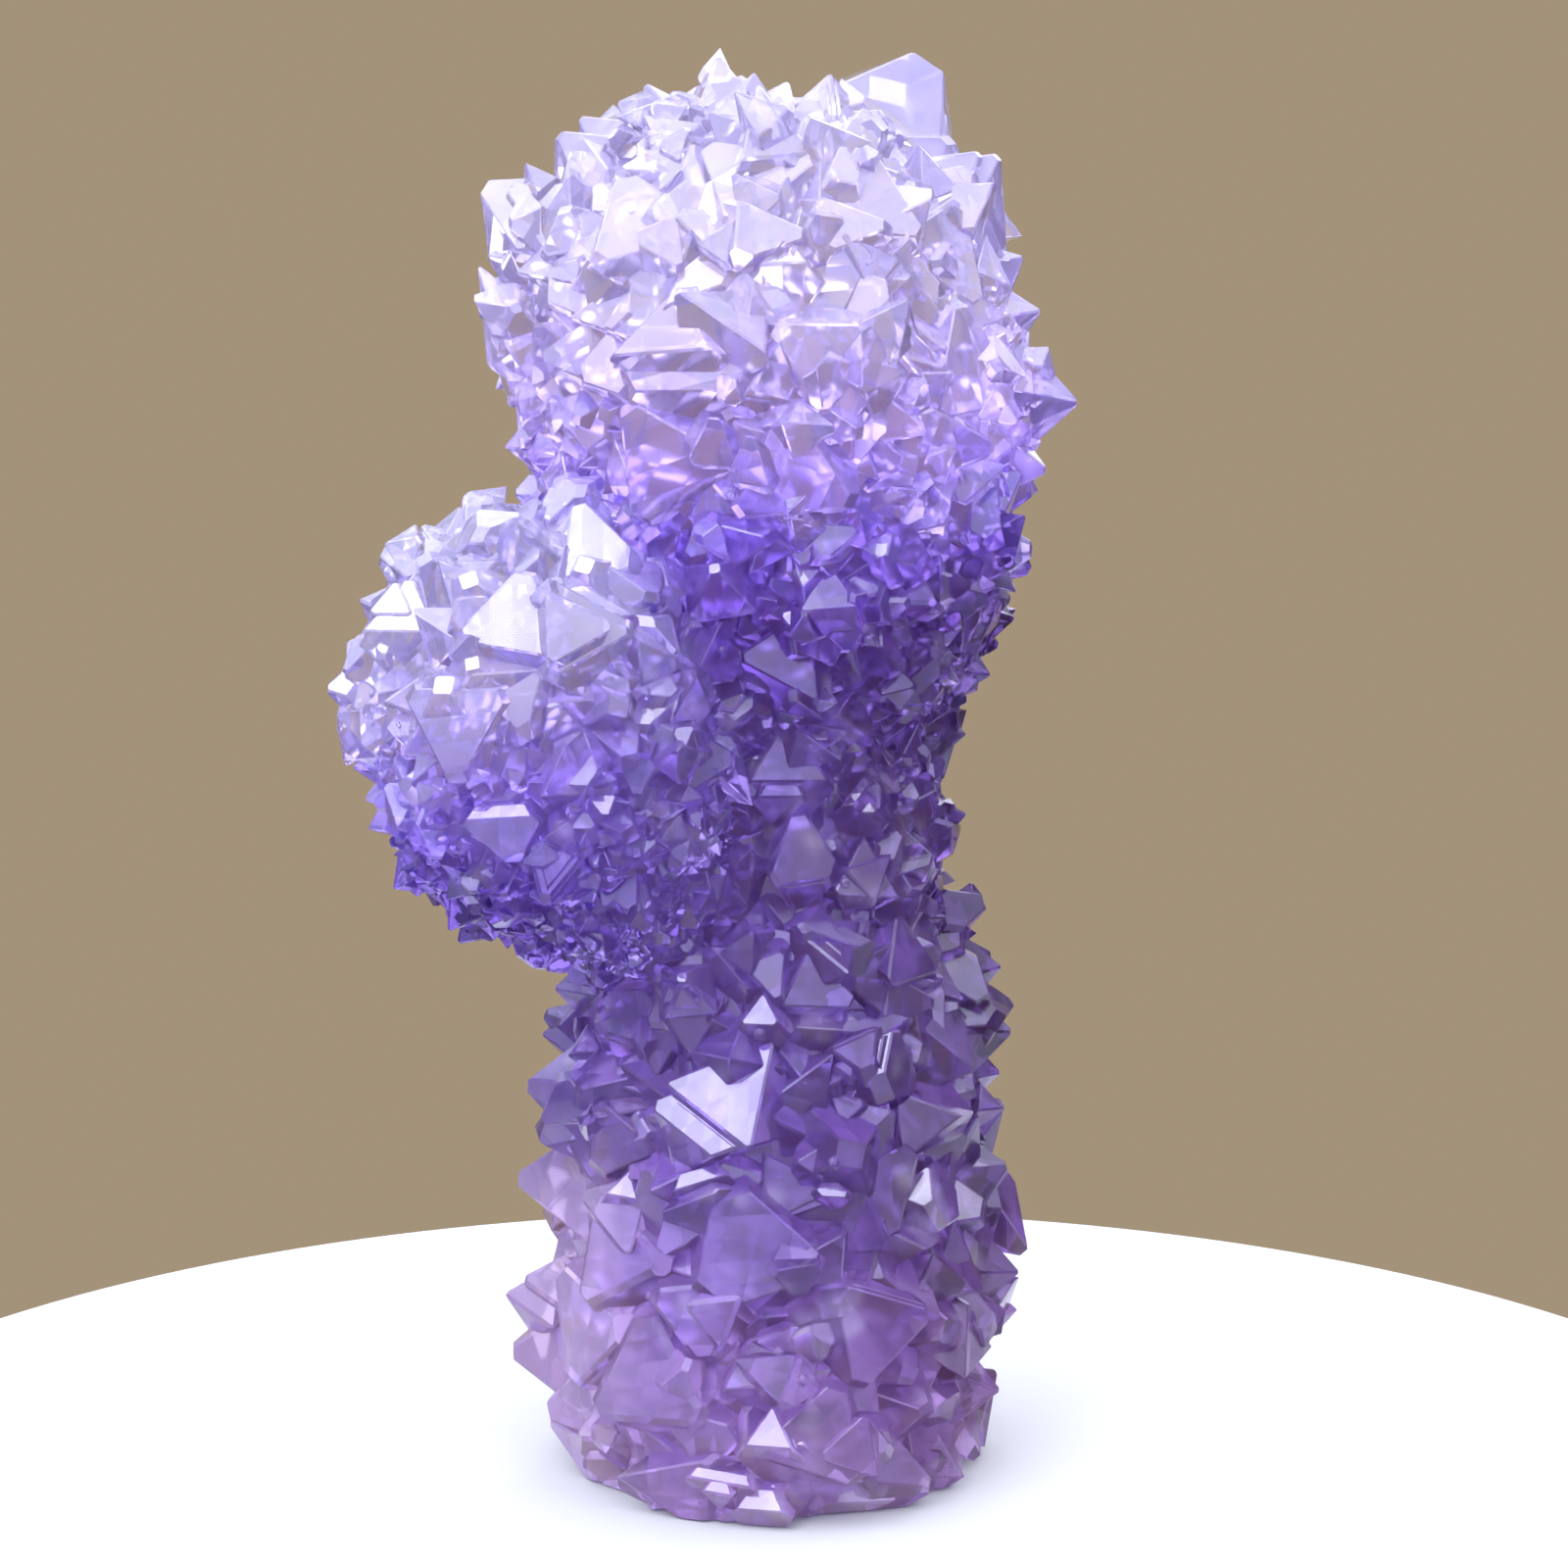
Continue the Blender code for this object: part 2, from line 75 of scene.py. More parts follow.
# Lengths in the cluster's values are millimetres, unless a note says metres.
# Azimuth 0 faces the front and 90 the right.
sun = (-12, 32)                   # azimuth and elevation of the faces that shine together
cluster = {
    "seed": 11,
    "coreSides": 24,
    "guideSides": 36,
    "ringStep": 4.0,              # height between the rings of the core
    "slopeSpan": 3.0,             # height over which the slope of the core is read
    "uncut": 2.0,                 # a corner cut this many sizes out never touches the crystal
    "hiddenFace": 1.05,           # buried faces of a chosen crystal, over its regular ones
    "crustTries": 5000,
    "crustFloor": 1,              # no crystal of the crust starts lower than this
    "crustRoom": 1.23,
    "landmarkRoom": 0.62,
    "buriedMargin": 0.3,
    "lean": 0.28,
    "growth": (0.84, 1.12),
    "slender": (0.9, 1.25),
    "sunk": (0.0, 0.3),
    "outward": ((0, 0, 1), (0, 0, 1), (0, 1, 1), (1, 1, 1)),    # which of its directions points out
    "fineSeed": 5,
    "chamfer": (0.08, 0.18),      # depth of the fine chamfer along the edges
    "worn": (0.25, 0.5),          # the same on the rounded crystals at the left of the base
    "wornPlace": (-30, -18, 22),
    "wornReach": 26,
    "brightTones": (0.8, 1.0),    # tones of the crystals that face the sun, which paint them a little paler as painted light and make them glossier; the others stay below them
    "tipCut": (0.02, 0.07),       # share of a chosen crystal that its small square corner faces take
    "bluntCut": (0.04, 0.24),     # the same for the crust between them
    "terraceShare": 0.08,         # share of faces that carry a thin plate
    "terraceSpan": (0.72, 0.9),
    "terraceRise": (0.15, 0.45),
    "terraceGrowth": (0.85, 1.05),
    "terraceCut": 0.98,           # over the crystal's size
    "terraceChamfer": 0.7,        # over the crystal's own chamfer
    "twinShare": 0.5,             # share of crystals with smaller ones of the same turn beside them
    "twinCounts": (1, 2),
    "twinGrowth": (0.85, 1.15),
    "twinSize": (0.4, 0.7),
    "twinOffset": (0.35, 0.6),
    # the ten crystals that the finer generations draw from: which of their directions points out
    "pieceOutward": ((0, 0, 1), (0, 0, 1), (0, 1, 1), (0, 1, 1), (0, 1, 1), (0, 1, 1),
                     (1, 1, 1), (1, 1, 1), (1, 1, 1), (1, 1, 1)),
    "pieceSeed": 21,
    "pieceGrowth": (0.8, 1.12),
    "pieceSlender": (1.0, 1.6),
    "pieceChamfer": 0.016,        # over the crystal's size
    "pieceCut": (0.66, 0.95),
    "boxMargin": 2.0,             # finer crystals start this far inside the frontmost and rearmost ones
    "densest": 1e6,               # points per square metre, before their spacing thins them
    "levelBlock": (0.2, 0.02),    # width and depth of the block that cuts the base flat, in metres
    "dropletRounds": 3,
    "dropletHeight": 1.2,         # over its width
    "dropletTone": 0.5,
    # growth after the main crystals, each where "shares" says; lengths here are metres
    "generations": (
        {"Where": "base", "Spacing": 0.0062, "Reach": 0.0070, "Smallest": 0.95, "Largest": 1.4,
         "Lean": 0.12, "Sink": 0.42, "Seed": 3},
        {"Where": "infill", "Spacing": 0.0048, "Reach": 0.0060, "Smallest": 0.85, "Largest": 1.25,
         "Lean": 0.2, "Sink": 0.40, "Seed": 5},
        {"Where": "second", "Spacing": 0.0040, "Reach": 0.0040, "Smallest": 0.6, "Largest": 0.9,
         "Lean": 0.3, "Sink": 0.35, "Seed": 4},
        {"Where": "druse", "Spacing": 0.0029, "Reach": 0.0060, "Smallest": 0.35, "Largest": 0.6,
         "Lean": 0.45, "Sink": 0.25, "Seed": 8},
        {"Where": "late", "Spacing": 0.0060, "Reach": 0.0150, "Smallest": 0.35, "Largest": 0.8,
         "Lean": 0.45, "Sink": 0.3, "Seed": 9},
    ),
    # sections of the core, from below the flat base up: height, centre x, centre y, radius
    "core": {
        "column": ((-4.0, -2, 0, 26.5), (25, -2.5, 0, 32), (50, -2, 0, 31), (78, -1.5, 0, 27.5),
                   (93, -0.5, 0, 23.5), (118, -0.5, 0, 22.5), (140, 1, 0, 30), (170, -1.5, 0, 34.5),
                   (183, -3.5, 0, 33.5), (194, -3.5, 0, 28.5), (204, -2.5, 0, 19), (209.5, -1.5, 0, 6)),
        "lobe": ((78, -14, -8, 4), (90, -28, -17, 17), (102, -33, -21, 23), (123, -34, -22, 25.5),
                 (134, -35, -22, 23), (143, -38, -22, 15), (147.5, -40, -22, 5)),
    },
    # size of the crust's crystals, centre to corner: height, smallest, largest
    "crust": {
        "column": ((0, 8, 11.5), (35, 8, 11), (60, 7, 9.5), (105, 6.5, 8.5), (125, 6.5, 8.5),
                   (145, 8.5, 11.5), (165, 10, 13), (190, 10, 13), (212, 8, 11)),
        "lobe": ((80, 5.5, 7), (104, 5.5, 7), (118, 7, 9), (135, 8, 11), (150, 8, 10)),
    },
    # crystals with a corner that points out: corner x, y, z, azimuth, elevation, twist, size,
    # slenderness, and half the diagonal of the small square face that cuts the corner
    "corners": {"column": (
        (-10, -6, 220, -20, 78, 12, 10, 1.1, 0.4),  # highest peak
        (-4.5, -13, 216.5, 5, 62, 40, 7, 1.0, 0.3),
        (-21, -5, 216, -55, 62, 5, 9, 1.1, 0.5),
        (-24.5, -9, 212, -75, 45, 30, 8, 1.2, 0.5),
        (7, -8, 217, 15, 66, 0, 8, 1.0, 0.5),
        (-34, -8, 208, -62, 42, 45, 13, 1.0, 1.2),  # left shoulder, in two steps
        (-41.5, -11, 199.5, -65, 35, 40, 14, 1.0, 1.2),
        (-45, -8, 190, -85, 16, 0, 12, 1.0, 0.6),  # left cheek, with a slim blade
        (-46, -12, 188, -85, 62, 20, 6.5, 2.2, 0.4),
        (-42.5, -10, 161, -78, -8, 15, 7, 1.0, 0.3),
        (-40, -14, 152, -65, -15, 30, 8, 1.0, 0.5),
        (32.5, -6, 205, 58, 42, 42, 14, 1.0, 1.0),  # right shoulder
        (34, 6, 197, 75, 25, 10, 11, 1.0, 0.6),
        (36.5, -5, 190, 75, 28, 15, 9, 1.0, 0.5),
        (39.5, -3, 182, 82, 12, 0, 10, 1.0, 0.5),
        (45.5, -2, 168, 87, -3, 5, 14, 1.0, 0.5),  # spike at the right
        (40, -7, 157.5, 70, -10, 40, 11, 1.0, 0.8),
        (38, -4, 142, 78, -28, 25, 12, 1.1, 1.0),
        (36.5, 4, 134.5, 97, -4, 12, 8.5, 1.0, 0.3),
        (32, -5, 126, 80, -12, 0, 7.5, 1.0, 0.3),
        (28, -8, 117, 72, 0, 20, 6.5, 1.0, 0.3),
        (28.5, -2, 104, 88, 10, 40, 7, 1.0, 0.3),
        (29.5, -4, 88, 84, 5, 10, 7.5, 1.0, 0.3),
        # right side of the column, top to bottom
        (34.5, 3, 79, 96, 4, 0, 11, 1.0, 0.4),
        (35.5, -5, 70, 80, 2, 8, 9, 1.0, 0.8),
        (34.5, 5, 61.5, 100, -4, 0, 9, 1.0, 0.5),
        (35, -5, 48.5, 82, 14, 20, 11, 1.0, 0.9),
        (36, 4, 39.5, 98, 4, 14, 9, 1.0, 0.4),
        (37, -5, 31.5, 81, -2, 10, 9.5, 1.0, 0.5),
        (37.5, 4, 23, 98, 2, 0, 9, 1.0, 0.3),
        (34, -7, 13, 76, -4, 35, 9.5, 1.0, 0.4),
        (31, 5, 6, 99, -8, 0, 8.5, 1.0, 0.4),
        (-42, -3, 46, -88, 4, 30, 15, 1.0, 1.6),  # left side of the column
        (-37.5, -4, 60.5, -84, -2, 0, 8.5, 1.0, 0.4),
        (-38.5, 4, 68, -97, 4, 20, 8.5, 1.0, 0.5),
        (-36, -3, 76.5, -86, 2, 0, 7.5, 1.0, 0.4),
        (-43, -4, 18.5, -84, 0, 38, 16, 1.0, 1.8),
        (-40.5, -8, 31, -74, 14, 20, 13, 1.0, 1.2),
        (-35.5, -10, 9, -68, -4, 10, 11, 1.0, 0.6),
        # across the large triangular face
        (-8, -37, 71.5, -8, 12, 10, 8, 1.0, 0.4),
    ), "lobe": (
        # from the lobe's peak down its left side
        (-44, -24, 154, -18, 76, 10, 10, 1.1, 0.3),
        (-53, -27, 149, -48, 52, 30, 9, 1.0, 0.6),
        (-59, -24, 144.5, -68, 38, 10, 11, 1.0, 0.6),
        (-63.5, -20, 138, -86, 22, 0, 8, 1.0, 0.4),
        (-67.5, -26, 125, -80, 2, 15, 16, 1.0, 1.0),
        (-64.5, -22, 113, -90, -10, 10, 8, 1.0, 0.4),
        (-62, -24, 104, -85, -22, 30, 7, 1.0, 0.3),
        (-58.5, -24, 95, -80, -36, 0, 6.5, 1.0, 0.3),
        (-50, -26, 89, -60, -50, 20, 6, 1.0, 0.3),
    )},
    # crystals with a chosen face: x, z, lift above the core, azimuth, elevation, turn of its first side
    # (clockwise from up), distances to its three sides, distances to the three cuts at its corners, and
    # depth from the face to the crystal's centre
    "faces": {"column": (
        # large pale plate on top
        (13.5, 211, 1, 8, 14, 335, (7.5, 7.5, 11), (17, 15, 10.4), 6),
        # large triangular face with a step below it
        (-8, 66.5, 6.5, *sun, 215, (5.2, 5.0, 5.0), (9.8, 9.2, 9.2), 6),
        (-9.5, 66, 4.9, *sun, 215, (8.4, 4.0, 2.4), (9, 9, 9), 6),
        (-29, 68, 4.5, *sun, 294, (2.1, 4.0, 4.2), (2.0, 6, 6), 5),
        (-3.6, 77.5, 5.5, *sun, 180, (1.7, 1.9, 1.6), (2.9, 2.6, 2.8), 4),
        (12.7, 70.5, 5.5, *sun, 95, (2.7, 2.8, 2.8), (5, 3.0, 5), 5),
        (11.4, 71.8, 7.0, -2, 24, 95, (2.0, 2.1, 2.4), (4, 2.4, 4), 4),
        (20.3, 50, 5.5, *sun, 80, (1.8, 2.2, 2.3), (2.4, 2.6, 3.4), 5),
        (-2.2, 15.3, 6.0, *sun, 180, (2.2, 2.2, 2.1), (3.7, 4, 4), 5),
        (-29, 10.6, 5.5, -35, 32, 170, (2.2, 2.3, 2.4), (3, 3, 3), 5),
        # stepped face at the neck
        (-12.5, 119.5, 6.5, *sun, 164, (2.7, 2.8, 2.9), (4.0, 5, 5), 5),
        (-12.8, 118.5, 4.9, *sun, 164, (6.8, 2.4, 2.2), (5, 6, 6), 5),
        (0.5, 114.5, 6.0, 2, 24, 180, (3.2, 3.6, 3.4), (6.4, 6.6, 6.6), 6),
        (6.6, 139.5, 6.0, -8, 28, 175, (2.7, 2.4, 2.6), (5.0, 4.6, 4.4), 5),
        (-22.8, 150, 5.0, *sun, 184, (0.8, 3.2, 3.4), (0.9, 6, 6), 4),
        (0, 188, 6.0, *sun, 180, (1.9, 2.0, 1.9), (3.4, 3.8, 3.8), 5),
        (-27, 186, 7.0, -38, 14, 200, (7.0, 6.0, 6.0), (9.6, 9.6, 9.6), 7),
        (-20, 193, 7.0, 0, 38, 160, (5.4, 6.0, 6.0), (9, 9, 9), 7),
        (-5, 200, 6.5, -10, 40, 10, (5.6, 5.6, 6.0), (9, 9, 9), 7),
        (12, 196, 6.5, 14, 24, 185, (5.0, 5.6, 5.6), (8.8, 8.6, 8.6), 7),
        (24, 190, 6.5, 36, 18, 90, (5.6, 5.6, 5.8), (8.8, 8.8, 8.8), 7),
        (-30, 170, 6.5, -45, 4, 95, (6.6, 7.0, 7.0), (9.8, 9.8, 9.8), 7),
        (-14, 174, 6.5, -12, 12, 60, (5.4, 6.0, 6.0), (9, 9, 9), 7),
        (8, 172, 6.5, 8, -6, 0, (5.6, 6.0, 6.0), (9, 9, 9), 7),
        (28, 172, 6.5, 44, 6, 170, (6.0, 6.0, 6.0), (9.2, 9.2, 9.2), 7),
        (-17, 158, 6.5, -20, -14, 30, (5.6, 6.4, 5.6), (9, 9, 9), 7),
        (1, 156, 7.0, -4, -12, 175, (5.0, 5.6, 5.4), (8.6, 8.6, 8.6), 7),
        # broad faces of the base
        (-5, 43, 6.5, -4, 10, 40, (6.6, 6.8, 6.8), (8.2, 8.2, 8.2), 7),
        (-26, 40, 6.5, -40, 14, 150, (5.6, 5.6, 5.6), (8.2, 8.2, 8.2), 7),
        (-31, 27, 6.5, -52, 0, 20, (6.4, 6.4, 6.4), (9, 9, 9), 7),
        (-21, 22, 7.0, -30, 8, 175, (6.0, 6.6, 6.4), (9.4, 9.4, 9.4), 7),
        (-13, 33, 6.0, -14, 0, 350, (4.4, 4.4, 4.6), (6.2, 6.2, 6.2), 6),
        (5, 14, 6.5, 8, 6, 200, (4.8, 5.6, 5.0), (7.8, 7.8, 7.8), 6),
        (14, 30, 6.0, 22, 4, 20, (5.0, 5.4, 5.0), (7.8, 7.8, 7.8), 6),
    ), "lobe": (
        (-55, 136.5, 6.5, *sun, 180, (2.9, 3.4, 3.3), (5.4, 6, 6), 6),  # white face on the lobe
        (-40, 109, 5.0, *sun, 175, (1.0, 3.6, 3.8), (1.0, 6, 6), 4),
        (-29, 135, 7.0, 10, 20, 150, (4.6, 4.6, 4.2), (6.6, 7, 7), 6),  # broad plain faces
        (-38, 136, 6.5, -5, 25, 190, (4.4, 4.6, 4.6), (7, 7, 7), 6),
        (-59, 122, 6.0, -45, 8, 170, (5.5, 5.6, 5.4), (8.6, 8.6, 9), 7),
        (-46, 122, 6.5, -15, 5, 0, (4.4, 5.0, 5.0), (7.4, 7.4, 7.4), 6),
    )},
    # small tips and faces that stand on the crust, in the same columns
    "smallCorners": {"lobe": (
        (-47.5, -51, 127, *sun, 45, 10, 1.0, 2.0),
        (-43.5, -51, 130, *sun, 30, 8, 1.0, 1.4),
        (-44.5, -45, 141.5, *sun, 20, 8, 1.0, 1.8),
        (-28.5, -40, 143.5, *sun, 60, 8, 1.0, 1.8),
    ), "column": (
        (-10, -37, 143, *sun, 35, 7, 1.0, 1.1),
        (-15, -33, 83, *sun, 35, 6, 1.0, 1.0),
    )},
    "smallFaces": {"column": (
        (-24, 50, 5.0, *sun, 188, (1.4, 1.5, 1.5), (2.8, 2.6, 2.6), 5),
        (-12.7, 53.5, 5.5, *sun, 160, (1.1, 3.0, 2.8), (1.0, 5, 5), 4),
        (-9.5, 7.6, 5.5, *sun, 186, (0.8, 4.0, 4.0), (0.9, 6, 6), 4),
        (-3.5, 4.3, 6.0, *sun, 180, (1.5, 2.4, 2.4), (1.6, 4, 4), 4),
        (-31, 84, 5.5, *sun, 200, (1.4, 1.6, 1.7), (2.0, 2.2, 2.4), 4),
        (-20.8, 105, 5.0, *sun, 182, (1.2, 1.3, 1.3), (2, 2.4, 2.4), 4),
        (10.6, 109.2, 4.5, *sun, 300, (0.7, 1.8, 1.8), (0.7, 3, 3), 4),
        (-10, 96, 5.5, *sun, 182, (1.3, 1.8, 1.6), (2.4, 3, 3), 4),
        (13.5, 132.8, 5.0, *sun, 80, (0.8, 0.9, 1.0), (1.6, 1.6, 1.6), 4),
        (3.0, 142, 5.0, *sun, 2, (1.0, 1.0, 1.1), (1.8, 2, 2), 4),
        (1.0, 136, 5.0, *sun, 350, (1.1, 1.2, 1.1), (2.2, 2, 2), 4),
        (13.8, 146, 5.5, *sun, 95, (1.4, 1.5, 1.5), (3, 1.6, 3), 4),
        (-3.5, 211, 8.0, *sun, 180, (1.6, 1.8, 1.8), (3, 3, 3), 4),
    ), "lobe": (
        (-47.5, 147.5, 6.5, *sun, 180, (1.3, 1.4, 1.4), (2.6, 2.6, 2.6), 4),
        (-51, 113, 5.0, *sun, 200, (0.8, 2.6, 2.6), (1.0, 4.6, 4.6), 4),
        (-30.5, 148, 7.0, *sun, 150, (1.7, 1.8, 1.8), (2.4, 3, 3), 4),
    )},
    # small round droplets on the front: x, z, radius
    "droplets": ((-3.5, 74.5, 1.1), (7.2, 56.5, 1.0), (-13.5, 88, 0.8), (9, 96, 0.8), (-20, 34, 0.9),
                 (6, 108, 0.9), (-9, 131, 0.9), (-30, 108, 0.9), (-42, 101, 0.8)),
    # by height: size of the finer crystals, and how much of each generation grows there
    "grain": {
        "column": ((0, 7.5), (35, 8), (60, 7), (90, 5.4), (118, 4.8), (132, 5.2), (150, 7.5),
                   (175, 8.5), (212, 7)),
        "lobe": ((78, 3.6), (100, 4), (112, 5), (130, 7), (150, 7)),
    },
    "shares": {
        "base": {"column": ((0, 1), (78, 1), (84, 0), (212, 0)), "lobe": ((78, 0), (150, 0))},
        "infill": {"column": ((0, 0), (74, 0), (80, 1), (212, 1)), "lobe": ((78, 1), (150, 1))},
        "second": {"column": ((0, 0.004), (70, 0.004), (100, 0.02), (118, 1), (212, 1)),
                   "lobe": ((78, 1), (150, 1))},
        "druse": {"column": ((0, 0), (60, 0), (100, 0.1), (118, 0.9), (138, 0.9), (150, 0.3), (165, 0),
                             (212, 0)),
                  "lobe": ((78, 1), (106, 1), (118, 0.3), (128, 0), (150, 0))},
        "late": {"column": ((0, 0.1), (80, 0.15), (130, 0.3), (155, 0.7), (212, 0.7)),
                 "lobe": ((78, 0.3), (150, 0.35))},
    },
}

core = cluster["core"]
root3 = math.sqrt(3.0)
nearly, touching = 1e-6, 1e-7
faceNormals = np.array([(x, y, z) for x in (1, -1) for y in (1, -1) for z in (1, -1)]) / root3
cutNormals = np.vstack((np.eye(3), -np.eye(3)))
edgePairs = [(i, j) for i, j in itertools.combinations(range(8), 2)
             if faceNormals[i] @ faceNormals[j] > 0.3]      # a third where two faces share an edge
edgeSums = np.array([faceNormals[i] + faceNormals[j] for i, j in edgePairs])
edgeSpan = float(np.linalg.norm(edgeSums[0]))
normals = np.vstack((faceNormals, cutNormals, edgeSums / edgeSpan))
triples = np.array([t for t in itertools.combinations(range(len(normals)), 3)
                    if abs(np.linalg.det(normals[list(t)])) > nearly])
inverses = np.linalg.inv(normals[triples])
sideFaces = (4, 2, 1)


def direction(azimuth, elevation):
    a, e = math.radians(azimuth), math.radians(elevation)
    return Vector((math.sin(a) * math.cos(e), -math.cos(a) * math.cos(e), math.sin(e)))


def clockwise(normal, angle):
    up = Vector((0, 0, 1)) - normal * normal.z
    if up.length < 1e-3:
        up = Vector((0, 1, 0))
    up.normalize()
    a = math.radians(angle)
    return up * math.cos(a) + up.cross(normal) * math.sin(a)


def turnTo(ownOut, ownAcross, out, across):
    own = Matrix((ownOut, ownAcross, ownOut.cross(ownAcross))).transposed()
    part = Matrix((out, across, out.cross(across))).transposed()
    return part @ own.transposed()


# A crystal is what its eight faces, six corner cuts and twelve edge chamfers leave.
def crystalMesh(name, faceDistances, cutDistances, chamfer):
    edges = [(faceDistances[i] + faceDistances[j]) / edgeSpan - chamfer for i, j in edgePairs]
    distances = np.concatenate((faceDistances, cutDistances, edges))
    points = np.einsum("nij,nj->ni", inverses, distances[triples])
    points = points[(points @ normals.T <= distances + touching).all(axis=1)]
    same = np.linalg.norm(points[:, None] - points[None], axis=2) < nearly
    found = points[np.unique(same.argmax(axis=1))]
    polygons = []
    for normal, distance in zip(normals, distances):
        onFace = np.flatnonzero(np.abs(found @ normal - distance) < touching)
        if len(onFace) < 3:
            continue
        arms = found[onFace] - found[onFace].mean(axis=0)
        across = np.cross(normal, arms[0])
        order = np.argsort(np.arctan2(arms @ across, arms @ arms[0]))
        polygons.append([int(i) for i in onFace[order]])
    mesh = bpy.data.meshes.new(name)
    mesh.from_pydata([Vector(c) for c in found], [], polygons)
    return mesh


def rowAt(rows, height):
    columns = list(zip(*rows))
    return [float(np.interp(height, columns[0], column)) for column in columns[1:]]


def frontOfCore(body, x, z):
    cx, cy, radius = rowAt(core[body], z)
    return cy - math.sqrt(max(radius ** 2 - (x - cx) ** 2, 0.0))


def corePoint(body, along, azimuth):
    sections = core[body]
    lengths = [0.0]
    for low, high in zip(sections, sections[1:]):
        lengths.append(lengths[-1] + math.hypot(high[0] - low[0], high[3] - low[3]))
    height = float(np.interp(along * lengths[-1], lengths, [row[0] for row in sections]))
    cx, cy, radius = rowAt(sections, height)
    span = cluster["slopeSpan"]
    below, above = rowAt(sections, height - span / 2)[2], rowAt(sections, height + span / 2)[2]
    flat = direction(azimuth, 0)
    normal = (flat * span + Vector((0, 0, below - above))).normalized()
    return Vector((cx, cy, height)) + flat * radius, normal


def cornerCrystal(x, y, z, azimuth, elevation, twist, size, slender, cut):
    out = direction(azimuth, elevation)
    turn = turnTo(Vector((0, 0, 1)), Vector((1, 0, 0)), out, clockwise(out, twist))
    centre = Vector((x, y, z)) - out * (size - cut) * slender
    cuts = np.full(6, cluster["uncut"] * size)
    cuts[2] = size - cut
    return dict(centre=centre, turn=turn, faces=np.full(8, size / root3), cuts=cuts, slender=slender,
                size=size, tip=cluster["tipCut"], shines=(azimuth, elevation) == sun)


def faceCrystal(body, x, z, lift, azimuth, elevation, twist, sides, cutSides, depth):
    out = direction(azimuth, elevation)
    turn = turnTo(Vector(faceNormals[0]), Vector((-2, 1, 1)).normalized(), out, clockwise(out, twist))
    centre = Vector((x, frontOfCore(body, x, z) - lift, z)) - out * depth
    size = (depth + sum(sides) / 3 * math.sqrt(8)) / 3 * root3
    distances = np.full(8, max(depth, size / root3) * cluster["hiddenFace"])
    distances[0] = depth
    for index, side in zip(sideFaces, sides):
        distances[index] = (depth + side * math.sqrt(8)) / 3
    cuts = np.full(6, cluster["uncut"] * size)
    for index, cut in enumerate(cutSides):
        cuts[index] = (depth + cut * math.sqrt(2)) / root3
    return dict(centre=centre, turn=turn, faces=distances, cuts=cuts, slender=1.0, size=size,
                tip=cluster["tipCut"], shines=(azimuth, elevation) == sun)


def crustCrystal(rng, point, normal, size):
    lean = Vector((rng.gauss(0, 1), rng.gauss(0, 1), rng.gauss(0, 1))) * cluster["lean"]
    out = (normal + lean).normalized()
    ownOut = Vector(rng.choice(cluster["outward"])).normalized()
    turn = turnTo(ownOut, ownOut.orthogonal().normalized(), out, clockwise(out, rng.uniform(0, 360)))
    distances = np.array([size / root3 * rng.uniform(*cluster["growth"]) for _ in range(8)])
    slender = rng.uniform(*cluster["slender"])
    centre = point - normal * size * rng.uniform(*cluster["sunk"])
    return dict(centre=centre, turn=turn, faces=distances, cuts=np.full(6, cluster["uncut"] * size),
                slender=slender, size=size, tip=cluster["bluntCut"], shines=False)


def buriedInOtherBody(body, point, size):
    other = core["lobe" if body == "column" else "column"]
    if not other[0][0] < point.z < other[-1][0]:
        return False
    cx, cy, radius = rowAt(other, point.z)
    return math.hypot(point.x - cx, point.y - cy) < radius - size * cluster["buriedMargin"]


def growCrust(rng, body, taken):
    grown = []
    for _ in range(cluster["crustTries"]):
        point, normal = corePoint(body, rng.random(), rng.uniform(0, 360))
        size = rng.uniform(*rowAt(cluster["crust"][body], point.z))
        if point.z < cluster["crustFloor"] or buriedInOtherBody(body, point, size):
            continue
        room = size * cluster["crustRoom"] / 2
        if all((point - centre).length > otherRoom + room for centre, otherRoom in taken):
            grown.append(crustCrystal(rng, point, normal, size))
            taken.append((point, room))
    return grown


crustRandom = random.Random(cluster["seed"])
crystals = []
for body in ("lobe", "column"):
    chosen = [cornerCrystal(*row) for row in cluster["corners"][body]]
    chosen += [faceCrystal(body, *row) for row in cluster["faces"][body]]
    taken = [(c["centre"], c["size"] * cluster["landmarkRoom"]) for c in chosen]
    crystals += chosen + growCrust(crustRandom, body, taken)
mainCount = len(crystals)
for body in ("lobe", "column"):
    crystals += [cornerCrystal(*row) for row in cluster["smallCorners"][body]]
    crystals += [faceCrystal(body, *row) for row in cluster["smallFaces"][body]]
print(mainCount, "main crystals and", len(crystals) - mainCount, "small ones")


def newCollection(name):
    collection = bpy.data.collections.new(name)
    scene.collection.children.link(collection)
    return collection


def addObject(collection, name, data):
    thing = bpy.data.objects.new(name, data)
    collection.objects.link(thing)
    return thing


def meshFrom(bm, name):
    mesh = bpy.data.meshes.new(name)
    bm.to_mesh(mesh)
    bm.free()
    return mesh


# Each crystal keeps a shade of its own on its faces, which the material reads.
def addCrystal(collection, name, crystal, mesh, tone):
    stretch = Matrix.Diagonal((1, 1, crystal["slender"])).to_3x3()
    place = Matrix.Translation(crystal["centre"]) @ (crystal["turn"] @ stretch).to_4x4()
    mesh.transform(Matrix.Scale(mm, 4) @ place)
    mesh.attributes.new("tone", "FLOAT", "FACE").data.foreach_set("value", [tone] * len(mesh.polygons))
    addObject(collection, name, mesh).hide_render = True


